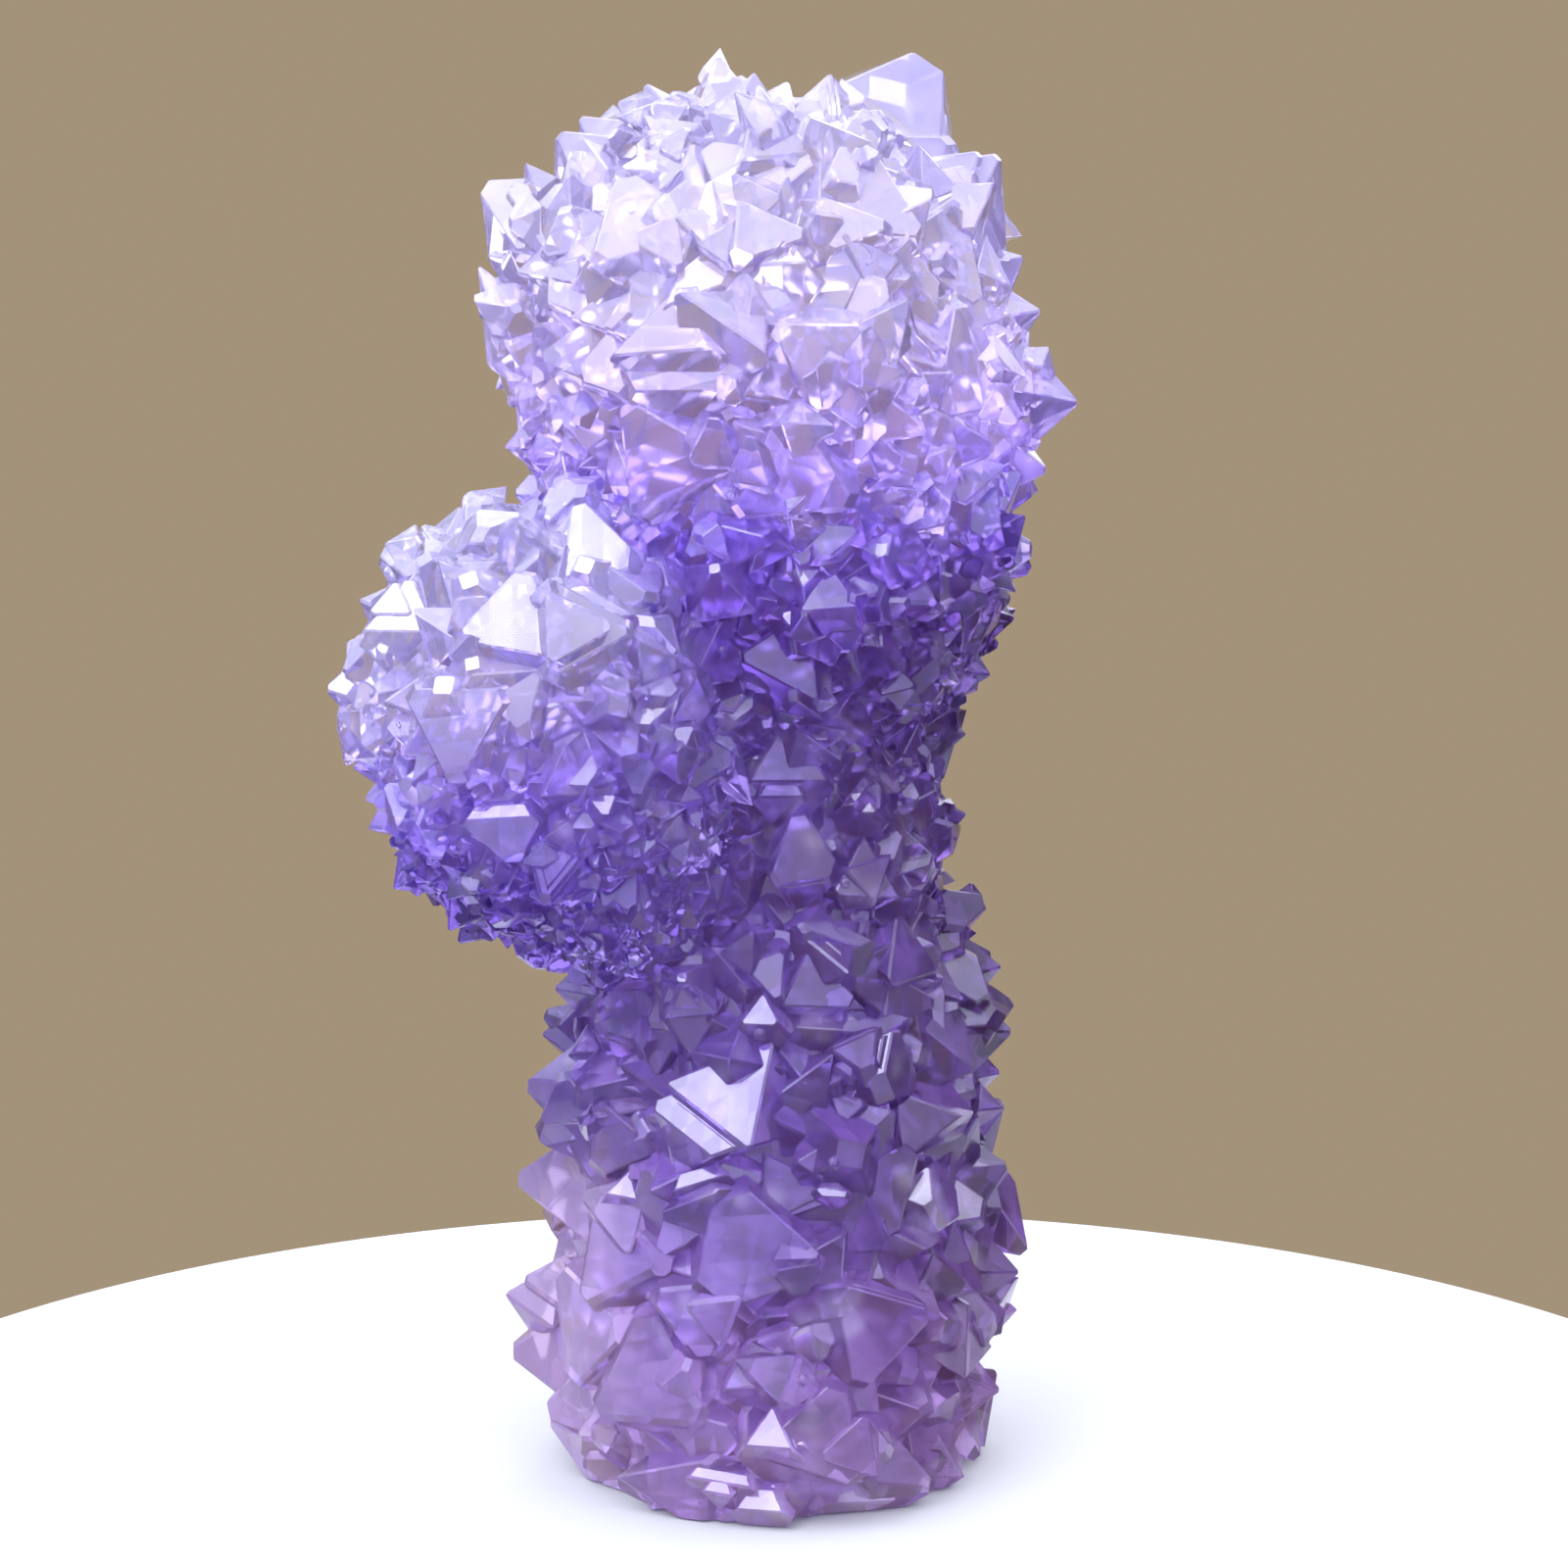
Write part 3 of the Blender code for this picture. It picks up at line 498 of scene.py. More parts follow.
crystalSet = newCollection("crystals")
fine = random.Random(cluster["fineSeed"])
wornPlace = Vector(cluster["wornPlace"])
plain, brightest = cluster["brightTones"]
for crystal in crystals:
    size, faces, tone = crystal["size"], crystal["faces"], fine.random()
    # the crystals that face the sun get the highest tones, which the material turns into a little painted
    # light
    tone = plain + (brightest - plain) * tone if crystal["shines"] else plain * tone
    worn = (crystal["centre"] - wornPlace).length < cluster["wornReach"]
    chamfer = fine.uniform(*cluster["worn" if worn else "chamfer"])
    cuts = np.minimum(crystal["cuts"], size * (1 - fine.uniform(*crystal["tip"])))
    addCrystal(crystalSet, "crystal", crystal, crystalMesh("crystal", faces, cuts, chamfer), tone)
    for i in range(8):          # thin plates, parallel to the face that they grow on
        if fine.random() < cluster["terraceShare"]:
            plate = faces * fine.uniform(*cluster["terraceSpan"])
            plate *= np.array([fine.uniform(*cluster["terraceGrowth"]) for _ in range(8)])
            plate[i] = faces[i] + fine.uniform(*cluster["terraceRise"])
            plateCuts = np.minimum(cuts, size * cluster["terraceCut"])
            plateMesh = crystalMesh("terrace", plate, plateCuts, chamfer * cluster["terraceChamfer"])
            addCrystal(crystalSet, "terrace", crystal, plateMesh, tone)
    if fine.random() < cluster["twinShare"]:
        for _ in range(fine.choice(cluster["twinCounts"])):
            share = fine.uniform(*cluster["twinSize"])
            away = Vector((fine.gauss(0, 1), fine.gauss(0, 1), fine.gauss(0, 1))).normalized()
            offset = away * size * fine.uniform(*cluster["twinOffset"])
            twin = dict(crystal, centre=crystal["centre"] + offset)
            twinFaces = np.array([d * share * fine.uniform(*cluster["twinGrowth"]) for d in faces])
            twinCuts = np.full(6, size * share * (1 - fine.uniform(*crystal["tip"])))
            twinMesh = crystalMesh("twin", twinFaces, twinCuts, chamfer)
            addCrystal(crystalSet, "twin", twin, twinMesh, tone)


def coreMesh(name, bodies, sides):
    bm = bmesh.new()
    tables = dict(cluster["shares"], grain=cluster["grain"])
    layers = {key: bm.verts.layers.float.new(key) for key in tables}
    for body in bodies:
        bottom, top = core[body][0][0], core[body][-1][0]
        rings = []
        for z in [*np.arange(bottom, top, cluster["ringStep"]), top]:
            cx, cy, radius = rowAt(core[body], z)
            place = Matrix.Translation(Vector((cx, cy, z)) * mm)
            ring = bmesh.ops.create_circle(bm, segments=sides, radius=radius * mm, matrix=place)
            rings.append(ring["verts"])
            for vert in ring["verts"]:
                bare = min((vert.co / mm - wornPlace).length / cluster["wornReach"], 1) ** 2
                for key, layer in layers.items():
                    vert[layer] = rowAt(tables[key][body], z)[0] * (bare if key == "base" else 1)
        for low, high in zip(rings, rings[1:]):
            for i in range(sides):
                bm.faces.new((low[i], low[(i + 1) % sides], high[(i + 1) % sides], high[i]))
        bm.faces.new(rings[0])
        bm.faces.new(rings[-1])
    bmesh.ops.recalc_face_normals(bm, faces=bm.faces)
    return meshFrom(bm, name)


for body in core:
    addObject(crystalSet, body, coreMesh(body, [body], cluster["coreSides"])).hide_render = True
guide = addObject(scene.collection, "guide", coreMesh("guide", list(core), cluster["guideSides"]))
guide.hide_render = True

pieceSet = newCollection("pieces")
pieceRandom = random.Random(cluster["pieceSeed"])
for i, own in enumerate(cluster["pieceOutward"]):
    ownOut = Vector(own).normalized()
    turn = turnTo(ownOut, ownOut.orthogonal().normalized(), Vector((0, 0, 1)), Vector((1, 0, 0)))
    distances = np.array([pieceRandom.uniform(*cluster["pieceGrowth"]) / root3 for _ in range(8)])
    cuts = np.array([pieceRandom.uniform(*cluster["pieceCut"]) for _ in range(6)])
    slender = pieceRandom.uniform(*cluster["pieceSlender"])
    piece = dict(centre=Vector((0, 0, 0)), turn=turn, slender=slender)
    pieceMesh = crystalMesh("piece", distances, cuts, cluster["pieceChamfer"])
    addCrystal(pieceSet, "piece%d" % i, piece, pieceMesh, pieceRandom.random() * plain)


def newTree(name, inputs):
    tree = bpy.data.node_groups.new(name, "GeometryNodeTree")
    for socketName, kind in [("Geometry", "Geometry")] + inputs:
        tree.interface.new_socket(socketName, in_out="INPUT", socket_type="NodeSocket" + kind)
    tree.interface.new_socket("Geometry", in_out="OUTPUT", socket_type="NodeSocketGeometry")
    return tree, tree.nodes.new("NodeGroupInput").outputs


# Inputs are given by name or number, as a value or as a socket to link.
def addNode(tree, kind, inputs=None, **properties):
    node = tree.nodes.new(kind)
    for key, value in properties.items():
        setattr(node, key, value)
    for key, value in (inputs or {}).items():
        if isinstance(value, bpy.types.NodeSocket):
            tree.links.new(value, node.inputs[key])
        else:
            node.inputs[key].default_value = value
    return node


def calculate(tree, operation, *values):
    return addNode(tree, "ShaderNodeMath", dict(enumerate(values)), operation=operation).outputs[0]


def endTree(tree, geometry, material):
    real = addNode(tree, "GeometryNodeRealizeInstances", {"Geometry": geometry}).outputs[0]
    dressed = addNode(tree, "GeometryNodeSetMaterial", {"Geometry": real, "Material": material})
    addNode(tree, "NodeGroupOutput", {0: dressed.outputs[0]})


def unionTree(name, things, withOwn):
    tree, given = newTree(name, [(things, "Collection"), ("Material", "Material")])
    chosen = {"Collection": given[things], "Separate Children": True}
    each = addNode(tree, "GeometryNodeCollectionInfo", chosen, transform_space="RELATIVE").outputs[0]
    joined = addNode(tree, "GeometryNodeMeshBoolean", {1: each}, operation="UNION", solver="MANIFOLD")
    if withOwn:
        tree.links.new(given["Geometry"], joined.inputs[1])
    endTree(tree, joined.outputs[0], given["Material"])
    return tree


# Grows one generation of crystals on the plain ones, close above the smooth core.
def growTree():
    tree, given = newTree("growCrystals", [
        ("Core", "Object"), ("Crystals", "Collection"), ("Spacing", "Float"), ("Reach", "Float"),
        ("Smallest", "Float"), ("Largest", "Float"), ("Lean", "Float"), ("Sink", "Float"),
        ("Where", "String"), ("Seed", "Int"), ("Material", "Material")])

    add = partial(addNode, tree)
    smooth = add("GeometryNodeObjectInfo", {"Object": given["Core"]}, transform_space="RELATIVE")
    smooth = smooth.outputs["Geometry"]

    def nearest(kind, field):
        sample = {"Mesh": smooth, "Value": field}
        return add("GeometryNodeSampleNearestSurface", sample, data_type=kind).outputs["Value"]

    def stored(name):
        found = add("GeometryNodeInputNamedAttribute", {"Name": name}, data_type="FLOAT")
        return found.outputs["Attribute"]

    outward = nearest("FLOAT_VECTOR", add("GeometryNodeInputNormal").outputs[0])
    size = nearest("FLOAT", stored("grain"))
    share = nearest("FLOAT", stored(given["Where"]))
    above = add("GeometryNodeProximity", {0: smooth}, target_element="FACES").outputs["Distance"]
    near = add("ShaderNodeMapRange", {"Value": above, "From Min": 0.0, "From Max": given["Reach"],
                                      "To Min": 1.0, "To Max": 0.0}).outputs[0]
    wanted = calculate(tree, "MULTIPLY", near, share)
    dull = calculate(tree, "LESS_THAN", stored("tone"), cluster["brightTones"][0])
    front, back = cadBox[0][1], cadBox[1][1]
    across = add("ShaderNodeSeparateXYZ", {0: add("GeometryNodeInputPosition").outputs[0]}).outputs["Y"]
    inside = calculate(tree, "COMPARE", across, (front + back) / 2,
                       (back - front) / 2 - cluster["boxMargin"] * mm)
    allowed = calculate(tree, "MULTIPLY", dull, inside)
    density = calculate(tree, "MULTIPLY", wanted, allowed)
    points = add("GeometryNodeDistributePointsOnFaces", {
        "Mesh": given["Geometry"], "Distance Min": given["Spacing"], "Density Max": cluster["densest"],
        "Density Factor": density, "Seed": given["Seed"]}, distribute_method="POISSON").outputs["Points"]

    noise = add("FunctionNodeRandomValue", {0: (-1, -1, -1), 1: (1, 1, 1), "Seed": given["Seed"]},
                data_type="FLOAT_VECTOR").outputs[0]
    tilt = add("ShaderNodeVectorMath", {0: noise, "Scale": given["Lean"]}, operation="SCALE").outputs[0]
    lean = add("ShaderNodeVectorMath", {0: outward, 1: tilt}, operation="ADD").outputs[0]
    upright = add("FunctionNodeAlignRotationToVector", {"Vector": lean}, axis="Z").outputs[0]
    angle = add("FunctionNodeRandomValue", {2: 0.0, 3: math.tau, "Seed": given["Seed"]},
                data_type="FLOAT").outputs[1]
    twist = add("FunctionNodeAxisAngleToRotation", {"Axis": (0, 0, 1), "Angle": angle}).outputs[0]
    turn = add("FunctionNodeRotateRotation", {0: upright, 1: twist}, rotation_space="LOCAL").outputs[0]
    limits = {2: given["Smallest"], 3: given["Largest"], "Seed": given["Seed"]}
    factor = add("FunctionNodeRandomValue", limits, data_type="FLOAT").outputs[1]
    scale = calculate(tree, "MULTIPLY", factor, size)
    depth = calculate(tree, "MULTIPLY", scale, given["Sink"])
    metres = calculate(tree, "MULTIPLY", depth, -mm)
    down = add("ShaderNodeVectorMath", {0: outward, "Scale": metres}, operation="SCALE").outputs[0]
    sunk = add("GeometryNodeSetPosition", {"Geometry": points, "Offset": down}).outputs[0]
    choices = add("GeometryNodeCollectionInfo", {
        "Collection": given["Crystals"], "Separate Children": True, "Reset Children": True}).outputs[0]
    limits = {4: 0, 5: len(cluster["pieceOutward"]) - 1, "Seed": given["Seed"]}
    choice = add("FunctionNodeRandomValue", limits, data_type="INT").outputs[2]
    grown = add("GeometryNodeInstanceOnPoints", {
        "Points": sunk, "Instance": choices, "Pick Instance": True, "Instance Index": choice,
        "Rotation": turn, "Scale": scale}).outputs[0]
    joined = add("GeometryNodeMeshBoolean", {1: grown}, operation="UNION", solver="MANIFOLD")
    tree.links.new(given["Geometry"], joined.inputs[1])
    endTree(tree, joined.outputs[0], given["Material"])
    return tree


# Takes away all that lies below the base.
def levelTree():
    tree, given = newTree("levelBase", [("Depth", "Float"), ("Width", "Float"), ("Material", "Material")])
    sides = {0: given["Width"], 1: given["Width"], 2: given["Depth"]}
    sizes = addNode(tree, "ShaderNodeCombineXYZ", sides).outputs[0]
    drop = calculate(tree, "MULTIPLY", given["Depth"], -0.5)
    place = addNode(tree, "ShaderNodeCombineXYZ", {2: drop}).outputs[0]
    block = addNode(tree, "GeometryNodeMeshCube", {"Size": sizes}).outputs[0]
    below = addNode(tree, "GeometryNodeTransform", {"Geometry": block, "Translation": place}).outputs[0]
    cut = addNode(tree, "GeometryNodeMeshBoolean", {0: given["Geometry"], 1: below},
                  operation="DIFFERENCE", solver="MANIFOLD")
    endTree(tree, cut.outputs[0], given["Material"])
    return tree


# A modifier takes its inputs by the sockets' identifiers.
def addTree(thing, name, tree, values):
    modifier = thing.modifiers.new(name, "NODES")
    modifier.node_group = tree
    for item in tree.interface.items_tree:
        if item.item_type == "SOCKET" and item.in_out == "INPUT" and item.name in values:
            modifier[item.identifier] = values[item.name]


# Material of the crystals: tints are linear colours, and places metres unless a note says otherwise.
violetAlum = {
    "transmission": 0.84,
    "ior": 1.456,
    "roughness": (0.11, 0.18),    # on the clear heads, and on the column
    "clearAbove": (0.125, 0.165),
    "lobeClearAbove": (0.105, 0.125),
    "absorbColor": (0.72, 0.54, 0.95),
    "absorbDensity": 9.0,
    "coat": (0.2, 1.0),           # clear gloss on the crust, and on the crystals that shine most
    "coatTones": (0.7, 0.85),     # tones between which it rises
    "clearCoat": 0.5,             # the same gloss on the clear heads
    "reflection": (0.5, 0.5, 0.6),
    "coatRoughness": 0.02,
    # tints by height: height in mm, colour. Partly the crystals' own colour, a pale head over a deep
    # violet column, and partly painted light and shade: the pale head partly stands for the light from
    # above, and the dark bands under the head and under the lobe are painted shade
    "columnTints": (
        (0, (0.38, 0.25, 0.47)), (22, (0.36, 0.22, 0.52)), (45, (0.18, 0.10, 0.37)),
        (75, (0.20, 0.12, 0.41)), (100, (0.22, 0.13, 0.44)), (122, (0.15, 0.08, 0.35)),
        (138, (0.15, 0.065, 0.40)), (150, (0.28, 0.165, 0.74)), (160, (0.68, 0.52, 1.0)),
        (180, (0.84, 0.77, 1.0)), (222, (0.84, 0.80, 1.0)),
    ),
    # the darkest colours, at the lobe's underside, are painted shade
    "lobeTints": (
        (84, (0.10, 0.05, 0.26)), (98, (0.16, 0.08, 0.44)), (112, (0.42, 0.28, 0.88)),
        (124, (0.76, 0.68, 1.0)), (150, (0.82, 0.79, 1.0)),
    ),
    # the lobe lies beyond three planes: direction, distance from the origin, half width of the change
    "lobePlanes": (
        ((-0.507, -0.31, -0.80), -0.100, 0.004),
        ((-0.85, -0.52, 0.0), 0.038, 0.012),
        ((0, 0, 1), 0.082, 0.006),
    ),
    # growth planes, which bend the light: direction, how a crystal's tone turns it, and spacing
    "planes": (
        ((1.0, 0.25, -0.35), (-1.6, 0.9, 0.8), 0.0040),
        ((-0.2, 0.55, 1.0), (1.5, -0.7, -1.2), 0.0031),
    ),
    "planeSlope": 0.065,
    "wander": 0.026,              # how far the bands of tint wander up and down
    "wanderScale": 24,
    "wanderDetail": 1,
    "paintedShadeSide": (-0.014, 0.032),     # painted shade: towards +X, below the head, the column turns mauve and darker
    "paintedShadeBelow": (0.135, 0.160),
    "paintedShadeTint": (0.56, 0.46, 0.44),
    "paintedLightSide": (-0.016, -0.034),     # painted light: the left of the base is pale and pink, as where light shines through it
    "paintedLightBelow": (0.040, 0.068),
    "paintedLightTint": (0.58, 0.43, 0.62),
    "toneSpan": (0.86, 1.12),     # brightness of the darkest and palest crystals
    "veilTint": (0.95, 0.92, 1.0),
    "veilShare": 0.30,
    "veilSpan": (0.56, 0.74),     # noise between which a veil thickens
    "veilScale": 95,
    "veilDetail": 2,
}


def tintRamp(tree, height, rows):
    low, high = rows[0][0] * mm, rows[-1][0] * mm
    share = addNode(tree, "ShaderNodeMapRange", {"Value": height, "From Min": low, "From Max": high})
    ramp = addNode(tree, "ShaderNodeValToRGB", {0: share.outputs[0]})
    elements = ramp.color_ramp.elements
    for (z, color), element in zip((rows[0], rows[-1]), elements):
        element.color = (*color, 1)
    for z, color in rows[1:-1]:
        elements.new((z * mm - low) / (high - low)).color = (*color, 1)
    return ramp.outputs["Color"]


def alumMaterial(look):
    material = bpy.data.materials.new("violetAlum")
    material.use_nodes = True
    tree = material.node_tree

    add = partial(addNode, tree)

    def step(value, low, high, before=0.0, after=1.0):
        return add("ShaderNodeMapRange", {
            "Value": value, "From Min": low, "From Max": high, "To Min": before, "To Max": after},
            interpolation_type="SMOOTHSTEP").outputs[0]

    def blend(share, first, second, kind="MIX"):
        return add("ShaderNodeMix", {"Factor": share, "A": first, "B": second}, data_type="RGBA",
                   blend_type=kind).outputs["Result"]

    def noise(scale, detail):
        pattern = add("ShaderNodeTexNoise", {"Vector": place, "Scale": scale, "Detail": detail})
        return pattern.outputs["Fac"]

    def distance(direction):
        along = add("ShaderNodeVectorMath", {0: place, 1: direction}, operation="DOT_PRODUCT")
        return along.outputs["Value"]

    place = add("ShaderNodeTexCoord").outputs["Object"]
    sides = add("ShaderNodeSeparateXYZ", {0: place}).outputs
    tone = add("ShaderNodeAttribute", attribute_name="tone").outputs["Fac"]
    drift = calculate(tree, "SUBTRACT", noise(look["wanderScale"], look["wanderDetail"]), 0.5)
    height = calculate(tree, "MULTIPLY_ADD", drift, look["wander"], sides["Z"])

    # tints by height, on the column and on the lobe: own colour with painted light and shade
    beyond = [step(distance(normal), start - half, start + half)
              for normal, start, half in look["lobePlanes"]]
    inLobe = calculate(tree, "MINIMUM", beyond[0], calculate(tree, "MINIMUM", beyond[1], beyond[2]))
    columnTint, lobeTint = (tintRamp(tree, height, look[name]) for name in ("columnTints", "lobeTints"))
    tint = blend(inLobe, columnTint, lobeTint)

    # painted shade on the right side, painted light on the left of the base, the veils and each crystal's
    # own tone
    lower = step(height, *look["paintedShadeBelow"], 1.0, 0.0)
    paintedShade = calculate(tree, "MULTIPLY", step(sides["X"], *look["paintedShadeSide"]), lower)
    tint = blend(paintedShade, tint, (*look["paintedShadeTint"], 1), "MULTIPLY")
    # painted light on the left of the base, pale and pink
    lowest = step(height, *look["paintedLightBelow"], 1.0, 0.0)
    pale = calculate(tree, "MULTIPLY", step(sides["X"], *look["paintedLightSide"]), lowest)
    tint = blend(pale, tint, (*look["paintedLightTint"], 1))
    milk = noise(look["veilScale"], look["veilDetail"])
    tint = blend(step(milk, *look["veilSpan"], 0.0, look["veilShare"]), tint, (*look["veilTint"], 1))
    # each crystal's tone scales its tint; the highest tones, on the crystals that face the sun, are
    # painted light
    tint = add("ShaderNodeVectorMath", {0: tint, "Scale": step(tone, 0, 1, *look["toneSpan"])},
               operation="SCALE").outputs[0]

    # the heads are clearer than the column
    lobeClear = calculate(tree, "MULTIPLY", inLobe, step(height, *look["lobeClearAbove"]))
    clear = calculate(tree, "MAXIMUM", step(height, *look["clearAbove"]), lobeClear)
    rough = step(clear, 0, 1, look["roughness"][1], look["roughness"][0])
    headGloss = calculate(tree, "MULTIPLY", clear, look["clearCoat"])
    gloss = calculate(tree, "MAXIMUM", step(tone, *look["coatTones"], *look["coat"]), headGloss)

    # growth planes
    tones = add("ShaderNodeCombineXYZ", {0: tone, 1: tone, 2: tone}).outputs[0]
    relief = 0.0
    for axis, turn, spacing in look["planes"]:
        turned = add("ShaderNodeVectorMath", {0: turn, 1: tones, 2: axis}, operation="MULTIPLY_ADD")
        folded = calculate(tree, "PINGPONG", distance(turned.outputs[0]), spacing)
        relief = calculate(tree, "MULTIPLY_ADD", folded, look["planeSlope"], relief)
    bump = add("ShaderNodeBump", {"Height": relief, "Distance": 1.0}).outputs[0]

    shader = tree.nodes["Principled BSDF"]
    sockets = {"Base Color": tint, "Roughness": rough, "Normal": bump, "Coat Weight": gloss}
    for name, socket in sockets.items():
        tree.links.new(socket, shader.inputs[name])
    uniform = {"Metallic": 0.0, "IOR": look["ior"], "Transmission Weight": look["transmission"],
               "Coat Roughness": look["coatRoughness"], "Coat IOR": look["ior"],
               "Specular Tint": (*look["reflection"], 1)}
    for name, value in uniform.items():
        shader.inputs[name].default_value = value
    absorption = {"Color": (*look["absorbColor"], 1), "Density": look["absorbDensity"]}
    volume = add("ShaderNodeVolumeAbsorption", absorption).outputs[0]
    tree.links.new(volume, tree.nodes["Material Output"].inputs["Volume"])
    return material


alum = alumMaterial(violetAlum)


# Turns what the modifiers make into a plain mesh.
def settle(thing):
    mesh = bpy.data.meshes.new_from_object(thing.evaluated_get(bpy.context.evaluated_depsgraph_get()))
    thing.modifiers.clear()
    before, thing.data = thing.data, mesh
    bpy.data.meshes.remove(before)
    mesh.name = thing.name
    return mesh


def drop(collection):
    for thing in list(collection.objects):
        bpy.data.objects.remove(thing)
    bpy.data.collections.remove(collection)


# Removes the closed pockets and crumbs that the joining leaves apart from the cluster.
def keepLargest(mesh):
    bm = bmesh.new()
    bm.from_mesh(mesh)
    left, largest = set(bm.verts), set()
    while left:
        island, edge = set(), [left.pop()]
        while edge:
            vert = edge.pop()
            island.add(vert)
            near = {link.other_vert(vert) for link in vert.link_edges} & left
            left -= near
            edge.extend(near)
        largest = max(largest, island, key=len)
    bmesh.ops.delete(bm, geom=[vert for vert in bm.verts if vert not in largest], context="VERTS")
    bm.to_mesh(mesh)
    bm.free()


cluster3d = addObject(scene.collection, "crystal_crust", bpy.data.meshes.new("start"))
addTree(cluster3d, "fuse", unionTree("fuseCrystals", "Crystals", False),
        {"Crystals": crystalSet, "Material": alum})
grow = growTree()
for values in cluster["generations"]:
    values = dict(values, Core=guide, Crystals=pieceSet, Material=alum)
    addTree(cluster3d, values["Where"], grow, values)
levelWidth, levelDepth = cluster["levelBlock"]
addTree(cluster3d, "level", levelTree(), {"Depth": levelDepth, "Width": levelWidth, "Material": alum})
settle(cluster3d)
print("crystals fused")

# droplets stand where a line from the front meets the crystals
dropletSet = newCollection("droplets")
surface = BVHTree.FromObject(cluster3d, bpy.context.evaluated_depsgraph_get())
for x, z, radius in cluster["droplets"]:
    found = surface.ray_cast(Vector((x * mm, -1, z * mm)), Vector((0, 1, 0)))[0]
    bm = bmesh.new()
    bmesh.ops.create_icosphere(bm, subdivisions=cluster["dropletRounds"], radius=radius)
    droplet = dict(centre=found / mm, turn=Matrix.Identity(3), slender=cluster["dropletHeight"])
    addCrystal(dropletSet, "droplet", droplet, meshFrom(bm, "droplet"), cluster["dropletTone"])
addTree(cluster3d, "droplets", unionTree("joinDroplets", "Droplets", True),
        {"Droplets": dropletSet, "Material": alum})
mesh = settle(cluster3d)
keepLargest(mesh)
for name in ["grain", *cluster["shares"]]:
    mesh.attributes.remove(mesh.attributes[name])
for collection in (crystalSet, pieceSet, dropletSet):
    drop(collection)
bpy.data.objects.remove(guide)
mesh.calc_loop_triangles()
print("cluster finished:", len(mesh.loop_triangles), "triangles")

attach(cluster3d, "root")
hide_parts("crystal_cluster")

# Floor, backdrop, lights and camera; lengths are metres.
studio = {
    "floorRadius": 0.17,
    "floorThickness": 0.01,
    "floorSides": 160,
    "floorRoughness": 0.6,
    "floorColor": (0.38, 0.38, 0.375),
    "floorGap": 0.0004,           # between the floor and the cluster's base
    "wallColor": (0.37, 0.29, 0.195),
    "wallPlace": (0, 1.1, 0.1),   # a plain backdrop card behind the cluster
    "wallSize": (1.1, 1.1),
    "shadeColor": (0.12, 0.10, 0.12),
    "skyColor": (0.80, 0.84, 1.0),
    "sky": 5.1,                   # strength of the soft light from above and in front
    "skyFrom": (-0.18, -0.42, 0.89),
    "skySpan": (-0.15, 0.95),     # cosines between which the shade gives way to the sky
    # softboxes: name, direction from the cluster's middle, distance, width, height, strength, colour
    "lights": (
        ("keyLight", (-0.352, -0.503, 0.789), 1.0, 0.38, 0.62, 8.0, (0.88, 0.92, 1)),
        ("backLight", (0.35, 0.75, 0.56), 1.1, 0.5, 0.5, 3.0, (0.92, 0.94, 1)),
        ("sparkA", (0.35, -0.60, 0.72), 1.0, 0.09, 0.09, 26.0, (1, 1, 1)),
        ("sparkB", (-0.82, -0.20, 0.54), 1.0, 0.09, 0.09, 26.0, (1, 1, 1)),
        ("sparkC", (0.10, -0.05, 0.99), 1.0, 0.10, 0.10, 26.0, (1, 1, 1)),
        ("sparkD", (-0.45, -0.85, 0.28), 1.0, 0.07, 0.07, 22.0, (1, 1, 1)),
    ),
    "middle": (0, 0, 0.11),       # where the softboxes aim
    "cameraHeight": 0.150,
    "cameraDistance": 0.461,
    "cameraTilt": 84.86,
    "lens": 67.5,
    "sensor": 36,
    "clip": (0.01, 20),
    "lightThreshold": 0.1,        # light weaker than this is mostly passed over, which is quicker
    "bounces": 8,
}


def plainMaterial(name, color, roughness):
    material = bpy.data.materials.new(name)
    material.use_nodes = True
    shader = material.node_tree.nodes["Principled BSDF"]
    shader.inputs["Base Color"].default_value = (*color, 1)
    shader.inputs["Roughness"].default_value = roughness
    return material


bm = bmesh.new()
radius, thickness = studio["floorRadius"], studio["floorThickness"]
place = Matrix.Translation((0, 0, -thickness / 2 - studio["floorGap"]))
bmesh.ops.create_cone(bm, cap_ends=True, segments=studio["floorSides"], radius1=radius, radius2=radius,
                      depth=thickness, matrix=place)
floor = addObject(scene.collection, "floor", meshFrom(bm, "floor"))
floorMaterial = plainMaterial("paleFloor", studio["floorColor"], studio["floorRoughness"])
floor.data.materials.append(floorMaterial)

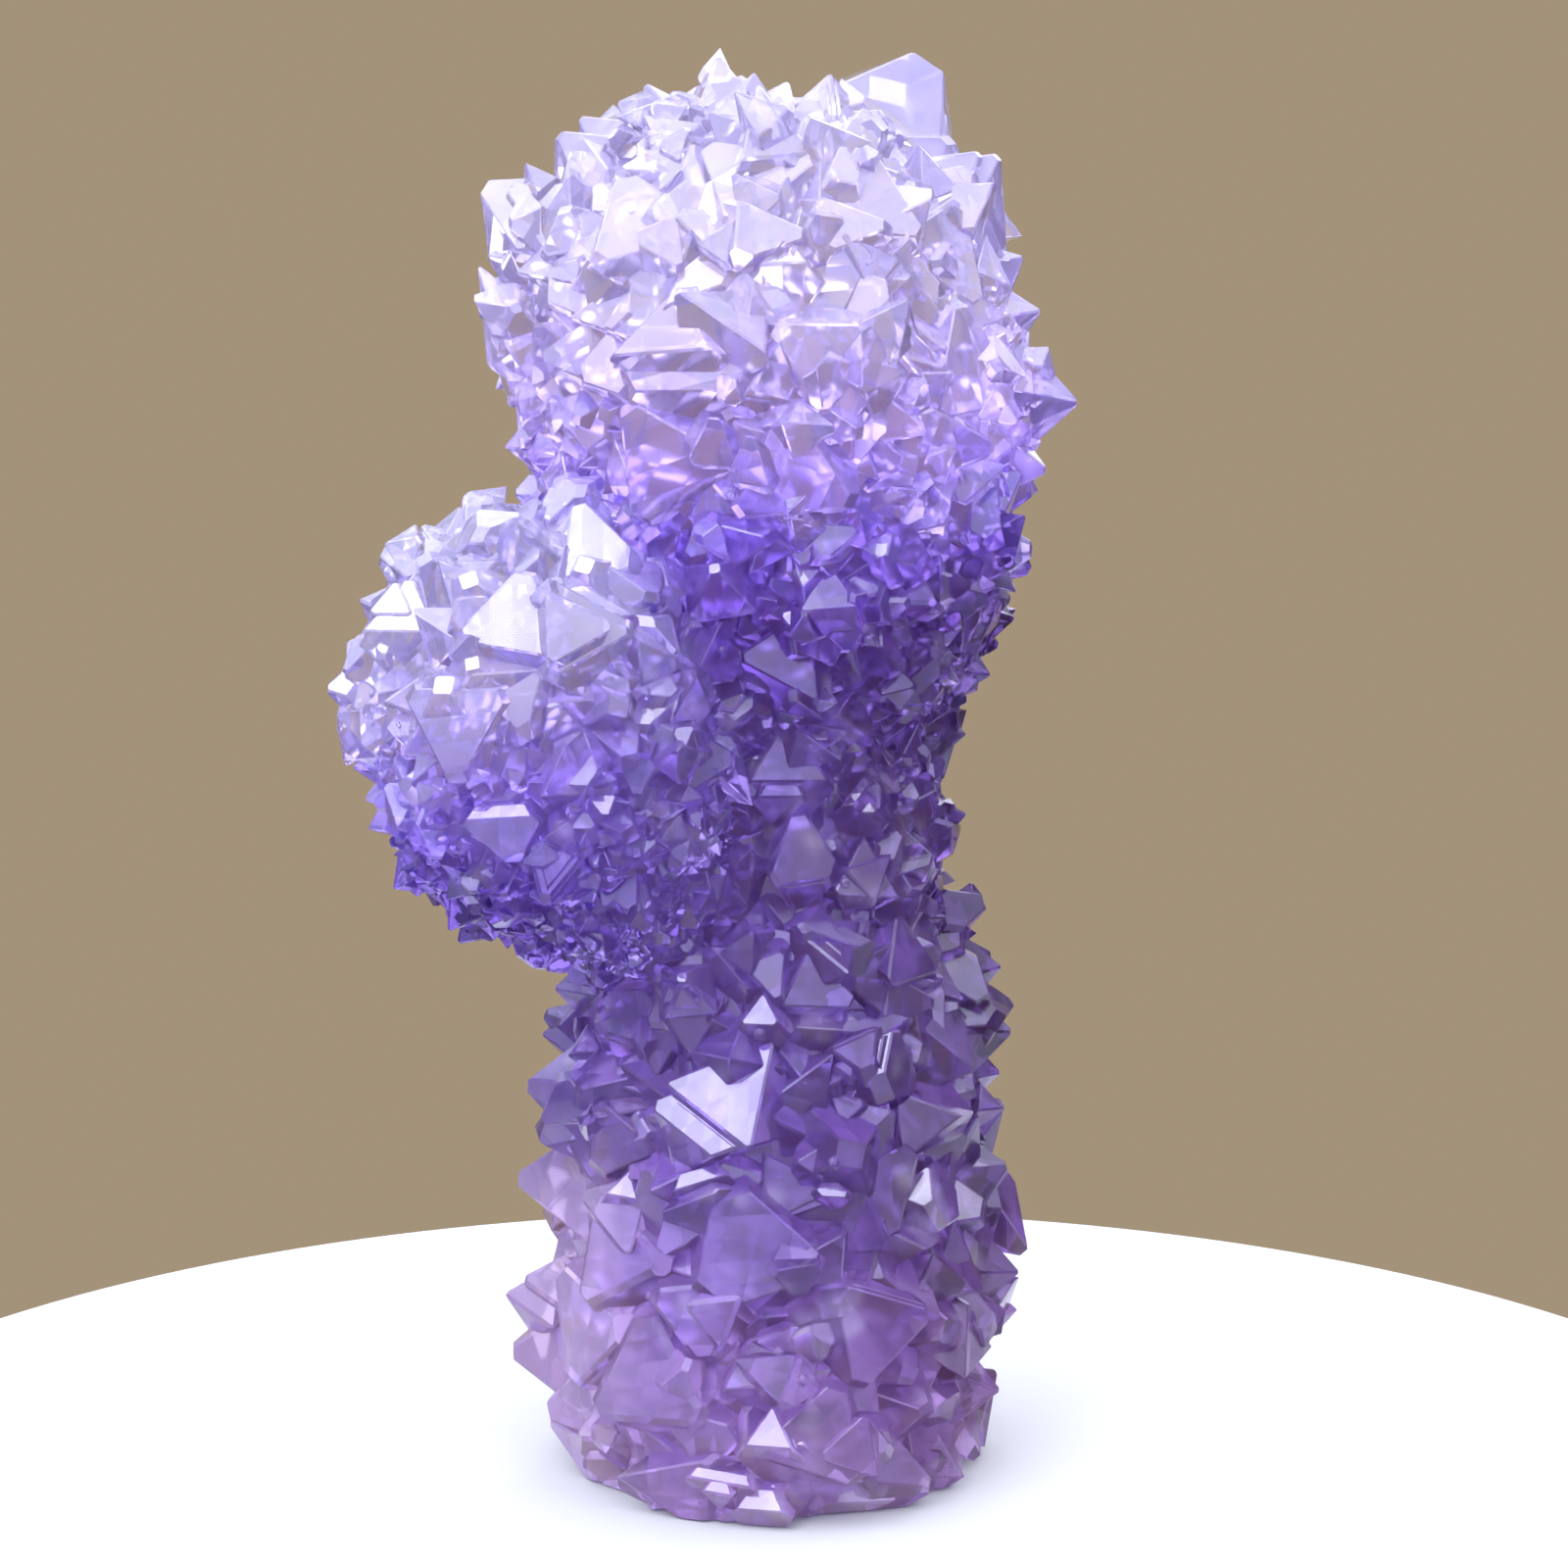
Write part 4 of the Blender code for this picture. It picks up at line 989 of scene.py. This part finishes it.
bm = bmesh.new()
width, height = studio["wallSize"]
place = Matrix.Translation(studio["wallPlace"]) @ Matrix.Rotation(math.pi / 2, 4, "X")
bmesh.ops.create_grid(bm, x_segments=1, y_segments=1, size=0.5,
                      matrix=place @ Matrix.Diagonal((width, height, 1, 1)))
wall = addObject(scene.collection, "backdrop", meshFrom(bm, "backdrop"))
wallMaterial = plainMaterial("warmBackdrop", (0, 0, 0), 1.0)
wallShader = wallMaterial.node_tree.nodes["Principled BSDF"]
wallShader.inputs["Emission Color"].default_value = (*studio["wallColor"], 1)
wallShader.inputs["Emission Strength"].default_value = 1.0
wallShader.inputs["Specular IOR Level"].default_value = 0.0
wall.data.materials.append(wallMaterial)

middle = Vector(studio["middle"])
for name, toward, distance, width, height, strength, color in studio["lights"]:
    light = bpy.data.lights.new(name, "AREA")
    light.shape = "RECTANGLE"
    light.size, light.size_y = width, height
    light.energy = strength * math.pi * width * height
    light.color = color
    lamp = addObject(scene.collection, name, light)
    lamp.location = middle + Vector(toward).normalized() * distance
    lamp.rotation_euler = Vector(toward).to_track_quat("Z", "Y").to_euler()

world = bpy.data.worlds.new("studio")
scene.world = world
world.use_nodes = True
tree = world.node_tree
ray = addNode(tree, "ShaderNodeTexCoord").outputs["Generated"]
facing = addNode(tree, "ShaderNodeVectorMath", {0: ray, 1: Vector(studio["skyFrom"]).normalized()},
                 operation="DOT_PRODUCT").outputs["Value"]
low, high = studio["skySpan"]
share = addNode(tree, "ShaderNodeMapRange", {"Value": facing, "From Min": low, "From Max": high},
                interpolation_type="SMOOTHSTEP").outputs[0]
sky = [studio["sky"] * c for c in studio["skyColor"]]
colors = {"Factor": share, "A": (*studio["shadeColor"], 1), "B": (*sky, 1)}
around = addNode(tree, "ShaderNodeMix", colors, data_type="RGBA").outputs["Result"]
seen = addNode(tree, "ShaderNodeLightPath").outputs["Is Camera Ray"]      # past the backdrop card
colors = {"Factor": seen, "A": around, "B": (*studio["wallColor"], 1)}
behind = addNode(tree, "ShaderNodeMix", colors, data_type="RGBA").outputs["Result"]
tree.links.new(behind, tree.nodes["Background"].inputs["Color"])

camera = addObject(scene.collection, "camera", bpy.data.cameras.new("camera"))
camera.location = (0, -studio["cameraDistance"], studio["cameraHeight"])
camera.rotation_euler = (math.radians(studio["cameraTilt"]), 0, 0)
camera.data.lens = studio["lens"]
camera.data.sensor_width = studio["sensor"]
camera.data.clip_start, camera.data.clip_end = studio["clip"]
scene.camera = camera
scene.view_settings.view_transform = "Standard"
cycles = scene.cycles
cycles.use_light_tree = False      # with few lamps, picking them evenly is quicker
cycles.light_sampling_threshold = studio["lightThreshold"]
cycles.max_bounces = studio["bounces"]
print("studio set")
